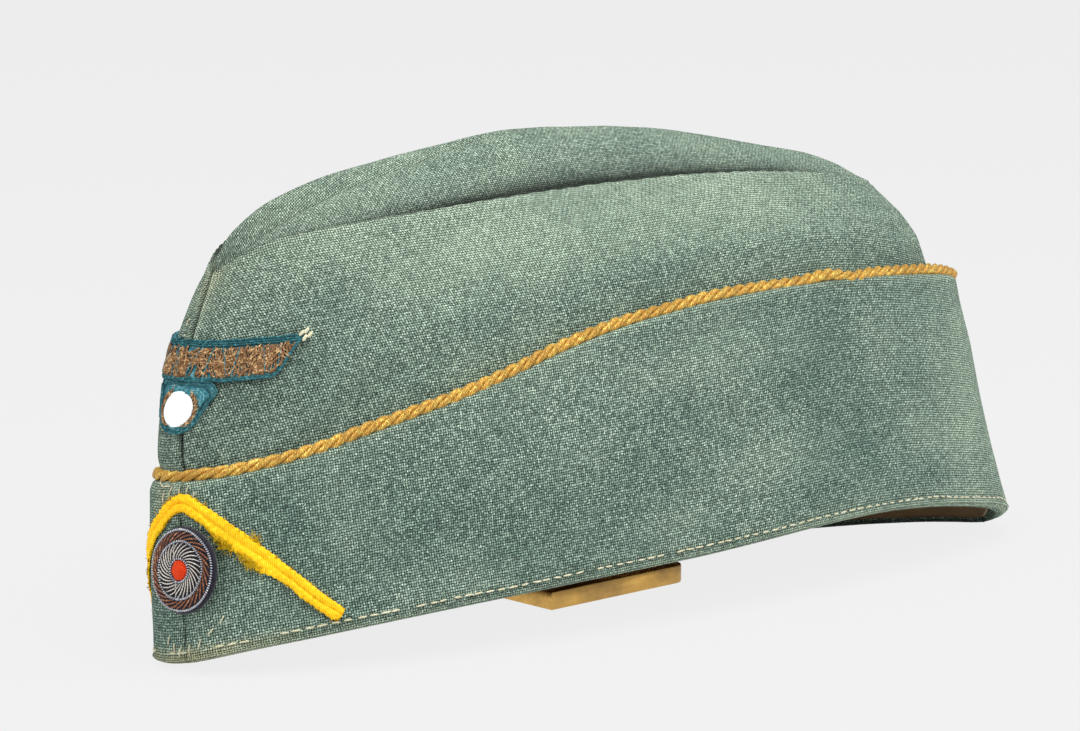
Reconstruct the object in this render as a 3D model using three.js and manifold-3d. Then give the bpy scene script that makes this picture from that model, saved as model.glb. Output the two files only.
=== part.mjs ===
// Garrison cap standing on its hem round a small display stand.
// Millimetres, +Z up, floor at z = 0. The front looks along -Y and the wearer's left is +X.
import * as THREE from 'three';
import { mergeVertices } from 'three/addons/utils/BufferGeometryUtils.js';
import Module from 'manifold-3d';

const wasm = await Module();
wasm.setup();

// Driving dimensions
const capHalfLength = 138; // middle of the cap to the rear of the crown cloth, at the hem
const capHalfWidth = 39.5; // middle of the cap to the side of the crown cloth, at the hem
const hemLift = 18; // highest rise of the near hem above the floor
const foldTop = 80; // height of the piping at the near side
const ridgeTop = 110; // height of the near ridge seam
const crestRise = 12.5; // height of the centre seam of the top above the near ridge seam
const farPuff = 6; // fullness of the far half of the top above its plain curve
const leanAngle = 12; // degrees that the cap leans away from its near side
const frontSeamTurn = 8.4; // degrees that the front seam sits round towards the near side
const crownWall = 2; // thickness of the crown cloth
const flapWall = 2.2; // thickness of the doubled cloth of the turn-up
const liningWall = 0.8;
const flapFlare = 5; // how far the turn-up stands off the crown at its rear top
const liningHem = 11; // bare crown cloth between the hem and the lining
const clearance = 0.3; // gap between pieces that touch
const seamGap = 0.42; // gap between the two halves of a cloth layer
const topGap = 1; // gap between the side panels and the top, which leans under them
const ridgeLip = 0.05; // share of the side's rise that stands above the edge of the top
const cordDiameter = 3.5;
const cordGap = 0.7; // degrees from the rear seam to each end of the cord
const braidWidth = 4.2;
const braidHeight = 1.5;
const braidTurn = 9; // degrees that the chevron's apex sits round towards the near side
const braidReach = 33; // degrees from the apex of the chevron round to each foot
const cockadeDiameter = 21;
const cockadeHeight = 24.5; // height of the cockade's centre above the hem
const cockadeTurn = 9; // degrees that the cockade sits round towards the near side
const cockadeBase = 1.2; // thickness of its dark ground
const badgeSpan = 61; // tip to tip
const badgeDiscDiameter = 8.8;
const badgeRise = 0.51; // place of the badge's disc between the hem and the ridge
const badgeBack = 1.6; // degrees that the badge sits round from the front seam to the far side
const badgeRim = 1.8; // woven ground that shows round the disc and the wings
const badgeNeck = 1; // from the ground of the disc to the wings
const badgeWingHeight = 10.5;
const badgeWall = 0.5;
const badgeLift = 0.05; // rise of the wings towards their tips, per length
const plateLength = 50.5;
const plateWidth = 32;
const plateHeight = 5;
const plateCorner = 4;
const plateTurn = 6; // degrees that the plate is turned from the line of the cap
const plateFrontX = 8; // near front corner of the plate
const plateFrontY = -25.5;
const postDiameter = 10;
const saddleLength = 50;
const saddleDiameter = 12;
const stepsRound = 30; // facets along a half of the oval

// Horizontal sections of the crown cloth, from the hem up to the ridge seam.
// front, rear and half are shares of the half length and the half width.
const sections = [
  { name: 'hem', front: 0.993, rear: 1.007, half: 1.0, power: 2.2 },
  { name: 'fold', front: 0.961, rear: 0.905, half: 0.92, power: 2.2 },
  { name: 'shoulder', front: 0.906, rear: 0.87, half: 0.8, power: 2.1 },
  { name: 'ridge', front: 0.81, rear: 0.8, half: 0.52, power: 2.0 },
];

// Heights round the oval, every 30 degrees from the front, with the near side first.
// hem, fold and ridge are shares of hemLift, foldTop and ridgeTop, flare is a share of flapFlare.
const stations = [
  { turn: 0, hem: 0.06, fold: 0.58, ridge: 0.86, flare: 0.02 },
  { turn: 30, hem: 0.38, fold: 0.63, ridge: 0.94, flare: 0.08 },
  { turn: 60, hem: 0.68, fold: 0.775, ridge: 0.98, flare: 0.18 },
  { turn: 90, hem: 0.88, fold: 0.985, ridge: 1.005, flare: 0.3 },
  { turn: 120, hem: 1.0, fold: 1.015, ridge: 0.995, flare: 0.5 },
  { turn: 150, hem: 0.61, fold: 0.955, ridge: 0.943, flare: 0.8 },
  { turn: 180, hem: 0.09, fold: 0.87, ridge: 0.87, flare: 1.0 },
  { turn: 210, hem: 0.0, fold: 0.85, ridge: 0.92, flare: 0.8 },
  { turn: 240, hem: 0.0, fold: 0.85, ridge: 0.94, flare: 0.5 },
  { turn: 270, hem: 0.0, fold: 0.8, ridge: 0.935, flare: 0.3 },
  { turn: 300, hem: 0.0, fold: 0.62, ridge: 0.92, flare: 0.18 },
  { turn: 330, hem: 0.0, fold: 0.55, ridge: 0.925, flare: 0.08 },
];

// Centre seam of the top: place along the cap as a share of the half length, height as a share
// of its highest point, and the extra fullness of the far half as a share of farPuff.
const crest = [
  { along: -0.8, height: 0.777, puff: 0.3 },
  { along: -0.7, height: 0.838, puff: 1.0 },
  { along: -0.55, height: 0.901, puff: 1.0 },
  { along: -0.35, height: 0.951, puff: 0.8 },
  { along: -0.15, height: 0.998, puff: 0.4 },
  { along: 0.05, height: 0.998, puff: 0.3 },
  { along: 0.3, height: 0.972, puff: 0.3 },
  { along: 0.5, height: 0.925, puff: 0.35 },
  { along: 0.68, height: 0.88, puff: 0.4 },
  { along: 0.79, height: 0.825, puff: 0.2 },
];

const shoulderShare = 0.56; // height of the shoulder between the fold and the ridge
const topFullness = 1.05; // lower is fuller
const foldRise = 1 / 3; // rise of the fold section between the hem and the ridge
const topRise = 1 - ridgeLip; // rise at which the top joins the side panel
const liningTop = 0.86; // rise at which the side lining ends
const liningStart = 0.25; // share of the way to the centre seam at which the top's lining starts
const endColumns = 2; // columns of facets that the top leaves bare at its front and rear
const leanSlope = Math.tan(THREE.MathUtils.degToRad(leanAngle));

// Smooth value through evenly spaced numbers; place counts in steps from the first one
function spline(values, place, closed) {
  const count = values.length;
  const first = Math.floor(closed ? place : THREE.MathUtils.clamp(place, 0, count - 1.0001));
  const pick = (k) => values[closed ? THREE.MathUtils.euclideanModulo(k, count)
    : THREE.MathUtils.clamp(k, 0, count - 1)];
  const part = place - first;
  const [a, b, c, d] = [pick(first - 1), pick(first), pick(first + 1), pick(first + 2)];
  return b + 0.5 * part * (c - a + part * (2 * a - 5 * b + 4 * c - d
    + part * (3 * (b - c) + d - a)));
}

function roundOval(column, turn) {
  const step = 360 / stations.length;
  return spline(stations.map((row) => row[column]), turn / step, true);
}

function alongCrest(column, y) {
  const place = y / capHalfLength;
  const next = Math.max(1, crest.findIndex((row) => row.along > place));
  const last = next === -1 || place > crest[crest.length - 1].along ? crest.length - 1 : next;
  const [from, to] = [crest[last - 1], crest[last]];
  const part = THREE.MathUtils.clamp((place - from.along) / (to.along - from.along), 0, 1);
  return spline(crest.map((row) => row[column]), last - 1 + part, false);
}

function crestHeight(y) {
  return (ridgeTop + crestRise) * alongCrest('height', y);
}

function sectionHeight(name, turn) {
  const fold = foldTop * roundOval('fold', turn);
  const ridge = ridgeTop * roundOval('ridge', turn);
  const heights = { hem: hemLift * roundOval('hem', turn), fold, ridge };
  heights.shoulder = THREE.MathUtils.lerp(fold, ridge, shoulderShare);
  return Math.max(0, heights[name]);
}

// Outer face of the crown cloth; turn in degrees round the oval, rise 0 at the hem, 1 at the ridge
function crownPoint(turn, rise) {
  const angle = THREE.MathUtils.degToRad(turn);
  const [cos, sin] = [Math.cos(angle), Math.sin(angle)];
  const points = sections.map((row) => {
    const reach = capHalfLength * (cos > 0 ? row.front : row.rear);
    const power = 2 / (cos > 0 ? row.power : 2);
    const x = Math.sign(sin) * capHalfWidth * row.half * Math.abs(sin) ** power;
    const y = -Math.sign(cos) * reach * Math.abs(cos) ** power;
    return new THREE.Vector3(x, y, sectionHeight(row.name, turn));
  });
  const place = rise * (sections.length - 1);
  const point = new THREE.Vector3(
    spline(points.map((p) => p.x), place, false),
    spline(points.map((p) => p.y), place, false),
    spline(points.map((p) => p.z), place, false),
  );
  point.x -= leanSlope * point.z;
  return point;
}

// Edge of the top, just inside the side panel and a little below its upper edge
function topEdge(turn) {
  return offsetFrom(crownPoint, turn, topRise, -crownWall - topGap);
}

// Outer face of the top; across 0 at the ridge, 1 at the centre seam
function topPoint(turn, across) {
  const edge = topEdge(turn);
  const height = crestHeight(edge.y);
  const inward = THREE.MathUtils.lerp(edge.x + leanSlope * edge.z, 0, across);
  const swell = Math.abs(Math.sin(across * Math.PI / 2)) ** topFullness;
  const puff = turn < 0 ? farPuff * alongCrest('puff', edge.y) * Math.sin(Math.PI * across) ** 2 : 0;
  const z = THREE.MathUtils.lerp(edge.z, height, swell) + puff;
  return new THREE.Vector3(inward - leanSlope * z, edge.y, z);
}

// Tangents and outward normal of a surface at a place on it
function frameAt(surface, turn, rise) {
  const [turnStep, riseStep] = [0.05, 0.0005];
  const alongTurn = surface(turn + turnStep, rise).sub(surface(turn - turnStep, rise))
    .divideScalar(2 * turnStep);
  const alongRise = surface(turn, rise + riseStep).sub(surface(turn, rise - riseStep))
    .divideScalar(2 * riseStep);
  const normal = alongTurn.clone().cross(alongRise).normalize();
  return { alongTurn, alongRise, normal };
}

// Point off a surface along its normal; cloth that would go below the floor is flattened on it
function offsetFrom(surface, turn, rise, distance) {
  const { normal } = frameAt(surface, turn, rise);
  const point = surface(turn, rise).addScaledVector(normal, distance);
  point.z = Math.max(point.z, 0);
  return point;
}

function flareAt(turn, share) {
  return flapFlare * roundOval('flare', turn) * share * share;
}

// Share of the fold's rise at which the turn-up ends, just below the cord
function flapEnd(turn) {
  const { alongRise } = frameAt(crownPoint, turn, foldRise);
  return 1 - (cordDiameter / 2 + clearance * 1.5) / (foldRise * alongRise.length());
}

// A face of the turn-up, measured out from its inner face; share 0 at the hem, 1 at its top edge
function flapPoint(turn, share, out) {
  const end = flapEnd(turn) * share;
  return offsetFrom(crownPoint, turn, foldRise * end, clearance + flareAt(turn, end) + out);
}

function flapOuter(turn, share) {
  return flapPoint(turn, share, flapWall);
}

// Turn of a seam, moved to one side by half the gap
function seamTurn(turn, rise, side) {
  const { alongTurn } = frameAt(crownPoint, turn, rise);
  return turn + side * seamGap / 2 / alongTurn.length();
}

function frontTurn(rise) {
  return frontSeamTurn * (1 - rise ** 3);
}

// Turn of a column of facets; share 0 to 1 runs round one half of the cap, seam to seam
function columnTurn(side, share, rise) {
  const front = seamTurn(frontTurn(rise), rise, side);
  const rear = seamTurn(side * 180, rise, -side);
  return side > 0 ? THREE.MathUtils.lerp(front, rear, share)
    : THREE.MathUtils.lerp(rear, front, share);
}

// Closed solid between an outer and an inner face, both given on a grid of places
function sheet(outer, inner, columns, rows) {
  const positions = [];
  for (const face of [outer, inner]) {
    for (let row = 0; row <= rows; row += 1) {
      for (let column = 0; column <= columns; column += 1) {
        positions.push(...face(column / columns, row / rows).toArray());
      }
    }
  }
  const layer = (columns + 1) * (rows + 1);
  const at = (column, row) => row * (columns + 1) + column;
  const triangles = [];
  for (let row = 0; row < rows; row += 1) {
    for (let column = 0; column < columns; column += 1) {
      const [a, b] = [at(column, row), at(column + 1, row)];
      const [c, d] = [at(column + 1, row + 1), at(column, row + 1)];
      triangles.push(a, b, c, a, c, d);
      triangles.push(layer + a, layer + c, layer + b, layer + a, layer + d, layer + c);
    }
  }
  const border = [];
  for (let column = 0; column < columns; column += 1) border.push(at(column, 0));
  for (let row = 0; row < rows; row += 1) border.push(at(columns, row));
  for (let column = columns; column > 0; column -= 1) border.push(at(column, rows));
  for (let row = rows; row > 0; row -= 1) border.push(at(0, row));
  border.forEach((from, place) => {
    const to = border[(place + 1) % border.length];
    triangles.push(to, from, layer + from, to, layer + from, layer + to);
  });
  const geometry = new THREE.BufferGeometry();
  geometry.setAttribute('position', new THREE.Float32BufferAttribute(positions, 3));
  geometry.setIndex(triangles);
  return geometry;
}

// Half of a cloth layer: side 1 is near, from the front seam to the rear, and -1 is far
function halfLayer(surface, side, rows, bottom, top, outward, wall) {
  const place = (u, v) => {
    const rise = THREE.MathUtils.lerp(bottom, top, v);
    return [columnTurn(side, u, rise), rise];
  };
  const outer = (u, v) => surface(...place(u, v), outward);
  const inner = (u, v) => surface(...place(u, v), outward - wall);
  return sheet(outer, inner, stepsRound, rows);
}

function crownLayer(turn, rise, outward) {
  return offsetFrom(crownPoint, turn, rise, outward);
}

function flapLayer(turn, rise, outward) {
  return flapPoint(turn, rise / foldRise, outward);
}

function addMesh(group, name, geometry, look) {
  const material = new THREE.MeshStandardMaterial(look);
  const mesh = new THREE.Mesh(geometry, material);
  mesh.name = name;
  group.add(mesh);
  return mesh;
}

// Colours and finishes
const looks = {
  cloth: { color: 0x6d7f77, roughness: 0.95, metalness: 0 },
  flap: { color: 0x66786f, roughness: 0.95, metalness: 0 },
  lining: { color: 0x8a7458, roughness: 0.9, metalness: 0 },
  cord: { color: 0xb98a3c, roughness: 0.6, metalness: 0.2 },
  braid: { color: 0xf2b60f, roughness: 0.7, metalness: 0 },
  dark: { color: 0x23242c, roughness: 0.8, metalness: 0 },
  bronze: { color: 0x7c5140, roughness: 0.6, metalness: 0.3 },
  silver: { color: 0xb9b9b6, roughness: 0.45, metalness: 0.7 },
  red: { color: 0xc8401f, roughness: 0.9, metalness: 0 },
  teal: { color: 0x1f6a70, roughness: 0.9, metalness: 0 },
  pale: { color: 0xf0f0ee, roughness: 0.8, metalness: 0 },
  brass: { color: 0xc39a4c, roughness: 0.35, metalness: 1 },
};

const cap = new THREE.Group();

// Crown: two side panels that meet at the front and rear seams
function buildSides() {
  for (const [name, side] of [['near', 1], ['far', -1]]) {
    addMesh(cap, `crown_side_${name}`, halfLayer(crownLayer, side, 12, 0, 1, 0, crownWall),
      looks.cloth);
    const bottom = foldRise * liningHem / (foldTop - hemLift);
    addMesh(cap, `lining_side_${name}`,
      halfLayer(crownLayer, side, 5, bottom, liningTop, -crownWall - clearance, liningWall),
      looks.lining);
    addMesh(cap, `turn_up_${name}`, halfLayer(flapLayer, side, 4, 0, foldRise, flapWall, flapWall),
      looks.flap);
  }
}

// Top: two halves that rise from the ridges and meet at the centre seam
function buildTop() {
  const ends = endColumns / stepsRound;
  const columns = stepsRound - 2 * endColumns;
  for (const [name, side] of [['near', 1], ['far', -1]]) {
    const face = (depth, from) => (u, v) => {
      const turn = columnTurn(side, THREE.MathUtils.lerp(ends, 1 - ends, u), topRise);
      const point = topPoint(turn, THREE.MathUtils.lerp(from, 1, v));
      point.x += leanSlope * depth + (v === 1 ? side * clearance / 2 : 0);
      point.z -= depth;
      return point;
    };
    addMesh(cap, `crown_top_${name}`, sheet(face(0, 0), face(crownWall, 0), columns, 4),
      looks.cloth);
    const depth = crownWall + clearance;
    addMesh(cap, `lining_top_${name}`,
      sheet(face(depth, liningStart), face(depth + liningWall, liningStart), columns, 3),
      looks.lining);
  }
}

// Gold cord along the top edge of the turn-up, its ends meeting at the rear seam
function buildCord() {
  const radius = cordDiameter / 2;
  const count = 36;
  const end = 180 - cordGap;
  const points = [];
  for (let step = 0; step <= count; step += 1) {
    const turn = THREE.MathUtils.lerp(-end, end, step / count);
    const out = clearance + Math.max(radius + clearance / 2, flareAt(turn, 1) + flapWall / 2);
    points.push(offsetFrom(crownPoint, turn, foldRise, out));
  }
  const path = new THREE.CatmullRomCurve3(points);
  const section = new THREE.Shape().absarc(0, 0, radius, 0, 2 * Math.PI);
  const geometry = new THREE.ExtrudeGeometry(section, {
    extrudePath: path, steps: 72, curveSegments: 4, bevelEnabled: false,
  });
  addMesh(cap, 'piping_cord', geometry, looks.cord);
}

// Moves a flat piece, drawn in XY with its underside at z = 0, onto a cloth face.
// Each point walks from the anchor in short steps, level with the floor in X and up the cloth in Y.
function drape(geometry, surface, turn, rise) {
  const walk = 8;
  const place = geometry.getAttribute('position');
  const point = new THREE.Vector3();
  for (let k = 0; k < place.count; k += 1) {
    point.fromBufferAttribute(place, k);
    let [turnHere, riseHere] = [turn, rise];
    for (let step = 0; step < walk; step += 1) {
      const { alongTurn, alongRise, normal } = frameAt(surface, turnHere, riseHere);
      const level = new THREE.Vector3(-normal.y, normal.x, 0).normalize();
      const upward = normal.clone().cross(level);
      const move = level.multiplyScalar(point.x / walk).addScaledVector(upward, point.y / walk);
      const [aa, ab] = [alongTurn.dot(alongTurn), alongTurn.dot(alongRise)];
      const [bb, am, bm] = [alongRise.dot(alongRise), alongTurn.dot(move), alongRise.dot(move)];
      const scale = aa * bb - ab * ab;
      turnHere += (am * bb - bm * ab) / scale;
      riseHere += (bm * aa - am * ab) / scale;
    }
    const seat = offsetFrom(surface, turnHere, riseHere, clearance + point.z);
    place.setXYZ(k, seat.x, seat.y, seat.z);
  }
  return geometry;
}

function merged(geometry) {
  geometry.deleteAttribute('normal');
  geometry.deleteAttribute('uv');
  return mergeVertices(geometry, 1e-5);
}

// Solid disc or ring turned round Z, from a closed or axis-to-axis profile of [radius, height]
function turned(profile, sides) {
  const geometry = new THREE.LatheGeometry(profile.map(([r, z]) => new THREE.Vector2(r, z)), sides);
  geometry.rotateX(Math.PI / 2);
  return merged(geometry);
}

function ringProfile(inner, outer, bottom, top) {
  const middle = (inner + outer) / 2;
  return [[inner, bottom], [outer, bottom], [outer, (bottom + top) / 2], [middle, top],
    [inner, (bottom + top) / 2], [inner, bottom]];
}

// Rings of the cockade, their inner and outer edges as shares of its radius, and their heights
const cockadeRings = [
  ['cockade_outer_wire', 0.92, 0.98, 1.0, 'silver'],
  ['cockade_bronze_ring', 0.73, 0.9, 1.4, 'bronze'],
  ['cockade_inner_wire', 0.65, 0.71, 1.2, 'silver'],
  ['cockade_rayed_disc', 0.32, 0.63, 1.0, 'silver'],
  ['cockade_eye_ring', 0.25, 0.3, 1.2, 'silver'],
];
const cockadeCentre = 0.23; // radius of the red centre, as a share

// Cockade: dark edge, two wire rings, a bronze ring between them, a rayed disc and a red centre
function buildCockade() {
  const flapHeight = foldTop * roundOval('fold', cockadeTurn)
    - hemLift * roundOval('hem', cockadeTurn);
  const height = cockadeHeight / flapHeight / flapEnd(cockadeTurn);
  const seat = cockadeBase + clearance;
  const put = (name, profile, sides, look) => addMesh(cap, name,
    drape(turned(profile, sides), flapOuter, cockadeTurn, height), looks[look]);
  const at = (share) => share * cockadeDiameter / 2;
  const ground = [0, 0.35, 0.7, 1].map(at);
  put('cockade_base', [...ground.map((r) => [r, 0]),
    ...ground.reverse().map((r) => [r, cockadeBase])], 20, 'dark');
  for (const [name, inner, outer, rise, look] of cockadeRings) {
    put(name, ringProfile(at(inner), at(outer), seat, seat + rise), 20, look);
  }
  put('cockade_centre', [[0, seat], [at(cockadeCentre), seat],
    [at(cockadeCentre), seat + cockadeBase / 2], [0, seat + cockadeBase]], 12, 'red');
}

// Apex and foot of the chevron as shares of the turn-up's height, the roundness of its apex as a
// share of its reach, and the bow of its legs, where 0 is straight
const chevronForm = { apex: 0.872, foot: 0.14, round: 0.1, bow: 0.3 };
const braidEdge = 0.65; // height of the braid's edges as a share of its middle

// Braid chevron: a strip laid in an upturned V with a round apex
function buildChevron() {
  const { apex, foot, round, bow } = chevronForm;
  const middle = (p) => {
    const bend = (Math.hypot(p, round) - round) / (Math.hypot(1, round) - round);
    const fall = bend * (1 - bow + bow * bend * bend);
    return [braidTurn + braidReach * p, THREE.MathUtils.lerp(apex, foot, fall)];
  };
  const across = (p, side, out) => {
    const step = 0.01;
    const here = flapOuter(...middle(p));
    const ahead = flapOuter(...middle(p + step)).sub(flapOuter(...middle(p - step))).normalize();
    const { normal } = frameAt(flapOuter, ...middle(p));
    const sideways = normal.clone().cross(ahead);
    return here.addScaledVector(sideways, side * braidWidth / 2)
      .addScaledVector(normal, clearance + out);
  };
  const swell = (v) => braidHeight * THREE.MathUtils.lerp(braidEdge, 1, Math.sin(Math.PI * v));
  const outer = (u, v) => across(2 * u - 1, 2 * v - 1, swell(v));
  const inner = (u, v) => across(2 * u - 1, 2 * v - 1, braidHeight / 12);
  addMesh(cap, 'chevron_braid', sheet(outer, inner, 32, 2), looks.braid);
}

function plate(shape, bottom, height) {
  const geometry = new THREE.ExtrudeGeometry(shape, {
    depth: height, bevelEnabled: false, curveSegments: 6,
  });
  geometry.translate(0, 0, bottom);
  return merged(geometry);
}

// Flat strip between a lower and an upper outline, both heights over a share of its length
function strip(from, to, lower, upper, bottom, top, columns, rows) {
  const face = (height) => (u, v) => {
    const x = THREE.MathUtils.lerp(from, to, u);
    const y = THREE.MathUtils.lerp(lower(u), upper(u), v) + badgeLift * Math.abs(x);
    return new THREE.Vector3(x, y, height);
  };
  return sheet(face(top), face(bottom), columns, rows);
}

// The wings' lower edge rises to the tip from this share of the half span on, by this share of
// their height, and the raised thread covers this stretch of the half span
const wingTip = { from: 0.72, rise: 0.9 };
const threadReach = { from: 0.08, to: 0.92 };

// Badge: woven ground with two plain wings in raised thread over a plain pale disc
function buildBadge() {
  const half = badgeSpan / 2;
  const discRadius = badgeDiscDiameter / 2;
  const ground = discRadius + badgeRim;
  const wingFoot = ground + badgeNeck;
  const wingTop = wingFoot + badgeWingHeight;
  const turn = frontTurn(badgeRise) - badgeBack;
  const lowered = (p) => wingFoot
    + badgeWingHeight * wingTip.rise * THREE.MathUtils.smoothstep(p, wingTip.from, 1);
  const groundLower = (u) => lowered(Math.abs(2 * u - 1));
  const seat = badgeWall + clearance;
  const put = (name, geometry, look) => addMesh(
    cap, name, drape(geometry, crownPoint, turn, badgeRise), looks[look]);
  put('badge_wing_ground',
    strip(-half, half, groundLower, () => wingTop, 0, badgeWall, 28, 2), 'teal');
  put('badge_disc_ground', turned([[0, 0], [ground / 2, 0], [ground, 0], [ground, badgeWall],
    [ground / 2, badgeWall], [0, badgeWall]], 20), 'teal');
  put('badge_disc', turned([[0, seat], [discRadius, seat], [discRadius, seat + badgeWall * 0.5],
    [0, seat + badgeWall]], 20), 'pale');
  const inset = badgeRim;
  for (const [name, side] of [['near', 1], ['far', -1]]) {
    const reach = (u) => THREE.MathUtils.lerp(threadReach.from, threadReach.to, u);
    const lower = (u) => inset + lowered(reach(side > 0 ? u : 1 - u));
    const [from, to] = side > 0 ? [reach(0), reach(1)] : [-reach(1), -reach(0)];
    put(`badge_wing_${name}`,
      strip(from * half, to * half, lower, () => wingTop - inset, seat, seat + badgeWall, 12, 2),
      'bronze');
  }
}

function solidOf(geometry) {
  const shape = merged(geometry);
  return new wasm.Manifold(new wasm.Mesh({
    numProp: 3,
    vertProperties: new Float32Array(shape.getAttribute('position').array),
    triVerts: new Uint32Array(shape.index.array),
  }));
}

function geometryOf(solid) {
  const mesh = solid.getMesh();
  const geometry = new THREE.BufferGeometry();
  geometry.setAttribute('position', new THREE.Float32BufferAttribute(mesh.vertProperties, 3));
  geometry.setIndex(Array.from(mesh.triVerts));
  return geometry;
}

// Stand: a brass plate on the floor and one plain post whose bar carries the crown from inside
function buildStand() {
  const turn = THREE.MathUtils.degToRad(plateTurn);
  const [cos, sin] = [Math.cos(turn), Math.sin(turn)];
  const centreX = plateFrontX - sin * plateLength / 2 - cos * plateWidth / 2;
  const centreY = plateFrontY + cos * plateLength / 2 - sin * plateWidth / 2;
  const outline = new THREE.Shape();
  const [halfWide, halfLong] = [plateWidth / 2, plateLength / 2];
  outline.moveTo(-halfWide, -halfLong);
  outline.lineTo(halfWide, -halfLong);
  outline.absarc(halfWide - plateCorner, halfLong - plateCorner, plateCorner, 0, Math.PI / 2);
  outline.absarc(plateCorner - halfWide, halfLong - plateCorner, plateCorner, Math.PI / 2, Math.PI);
  const base = addMesh(cap, 'stand_plate', plate(outline, 0, plateHeight), looks.brass);
  base.rotation.z = turn;
  base.position.set(centreX, centreY, 0);

  const saddleRadius = saddleDiameter / 2;
  const layers = crownWall + liningWall + 2 * clearance;
  const ends = [centreY - saddleLength / 2, centreY + saddleLength / 2];
  const barTop = Math.min(...ends.map(crestHeight)) - layers - clearance * 2;
  const barZ = barTop - saddleRadius;
  const foot = new THREE.Vector3(centreX, centreY, plateHeight + clearance);
  const head = new THREE.Vector3(-leanSlope * barZ, centreY, barZ);
  const axis = head.clone().sub(foot);
  const post = new THREE.CylinderGeometry(postDiameter / 2, postDiameter / 2,
    axis.length() + postDiameter, 20);
  post.applyQuaternion(new THREE.Quaternion().setFromUnitVectors(
    new THREE.Vector3(0, 1, 0), axis.clone().normalize()));
  const middle = foot.clone().lerp(head, 0.5).addScaledVector(axis.normalize(), -postDiameter / 2);
  post.translate(...middle.toArray());
  const bar = new THREE.CylinderGeometry(saddleRadius, saddleRadius, saddleLength, 20);
  bar.translate(...head.toArray());
  const cut = new THREE.BoxGeometry(plateWidth * 2, plateWidth * 2, plateWidth * 2);
  cut.translate(centreX, centreY, foot.z - plateWidth);
  addMesh(cap, 'stand_post',
    geometryOf(solidOf(post).add(solidOf(bar)).subtract(solidOf(cut))), looks.brass);
}

buildSides();
buildTop();
buildCord();
buildCockade();
buildChevron();
buildBadge();
buildStand();

// The origin is on the floor, under the middle of the whole
const bounds = new THREE.Box3().setFromObject(cap, true);
const middle = bounds.getCenter(new THREE.Vector3());
cap.position.set(-middle.x, -middle.y, -bounds.min.z);

export default cap;
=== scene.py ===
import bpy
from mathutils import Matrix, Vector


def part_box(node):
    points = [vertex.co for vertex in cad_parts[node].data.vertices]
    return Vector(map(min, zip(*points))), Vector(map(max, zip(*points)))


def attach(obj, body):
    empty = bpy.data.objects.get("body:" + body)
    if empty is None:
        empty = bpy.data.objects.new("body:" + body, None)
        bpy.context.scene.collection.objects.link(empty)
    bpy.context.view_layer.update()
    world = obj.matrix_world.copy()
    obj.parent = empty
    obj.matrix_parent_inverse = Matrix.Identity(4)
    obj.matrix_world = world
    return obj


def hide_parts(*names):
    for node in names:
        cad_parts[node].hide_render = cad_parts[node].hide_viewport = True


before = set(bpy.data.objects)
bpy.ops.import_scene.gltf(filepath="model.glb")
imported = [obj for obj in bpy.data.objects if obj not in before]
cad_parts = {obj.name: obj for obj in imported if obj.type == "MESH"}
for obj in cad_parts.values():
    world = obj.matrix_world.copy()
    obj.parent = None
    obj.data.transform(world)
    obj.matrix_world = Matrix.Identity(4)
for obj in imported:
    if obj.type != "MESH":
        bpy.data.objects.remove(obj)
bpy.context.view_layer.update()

import math
import bpy
import numpy as np
from mathutils import Vector

# Garrison cap on a small brass stand. Metres, +Z up, front along -Y, the wearer's left is +X.

capShape = {
    "halfLength": 0.138, "halfWidth": 0.0395,
    "hemLift": 0.018, "foldTop": 0.080, "ridgeTop": 0.110, "crestTop": 0.1225,
    "cockadeTurn": 9,
    "farPuff": 0.006, "lean": 12, "frontSeamTurn": 8.4,
    "flapFlare": 0.005, "clearance": 0.0003,
    "shoulderShare": 0.56, "topFullness": 0.9, "ridgeLip": 0.05,
}
# front, rear and half width as shares, and the oval's power: hem, fold, shoulder, ridge
sections = [(0.993, 1.007, 1.0, 2.2), (0.961, 0.905, 0.92, 2.2),
            (0.906, 0.87, 0.8, 2.1), (0.81, 0.8, 0.52, 2.0)]
# hem, fold, ridge and flare every 30 degrees round the oval, near side first
stations = np.array([
    (0.06, 0.58, 0.86, 0.02), (0.38, 0.63, 0.94, 0.08), (0.68, 0.775, 0.98, 0.18),
    (0.88, 0.985, 1.005, 0.3), (1.0, 1.015, 0.995, 0.5), (0.61, 0.955, 0.943, 0.8),
    (0.09, 0.87, 0.87, 1.0), (0.0, 0.85, 0.92, 0.8), (0.0, 0.85, 0.94, 0.5),
    (0.0, 0.8, 0.935, 0.3), (0.0, 0.62, 0.92, 0.18), (0.0, 0.55, 0.925, 0.08)])
# place along the cap, height and fullness of the far half, along the centre seam of the top
crest = np.array([
    (-0.8, 0.777, 0.3), (-0.7, 0.838, 1.0), (-0.55, 0.901, 1.0), (-0.35, 0.951, 0.8),
    (-0.15, 0.998, 0.4), (0.05, 0.998, 0.3), (0.3, 0.972, 0.3), (0.5, 0.925, 0.35),
    (0.68, 0.88, 0.4), (0.79, 0.825, 0.2)])
crown = {"wall": 0.0018, "height": 0.1, "columns": 230, "rows": 84, "seamGap": 0.00008,
         "topWidth": 0.03, "topRows": 34,
         "wrinkles": ((0.00055, 0.034, 1), (0.00022, 0.012, 2), (0.00007, 0.004, 3))}
flap = {"wall": 0.0022, "height": 0.062, "columns": 230, "rows": 56,
        "wrinkles": ((0.00055, 0.03, 21), (0.00018, 0.011, 22), (0.00006, 0.004, 23))}
foldRise = 1 / 3
leanSlope = math.tan(math.radians(capShape["lean"]))
endArc, sideArc = 0.0008, 0.0016  # metres of cloth to a degree of turn, at the ends and along the sides


# Surfaces of the cap, the same as the solids' but fine enough to carry seams and creases

def lerp(a, b, t):
    return a + (b - a) * t


def smooth(edge0, edge1, x):
    t = np.clip((x - edge0) / (edge1 - edge0), 0, 1)
    return t * t * (3 - 2 * t)


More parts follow.
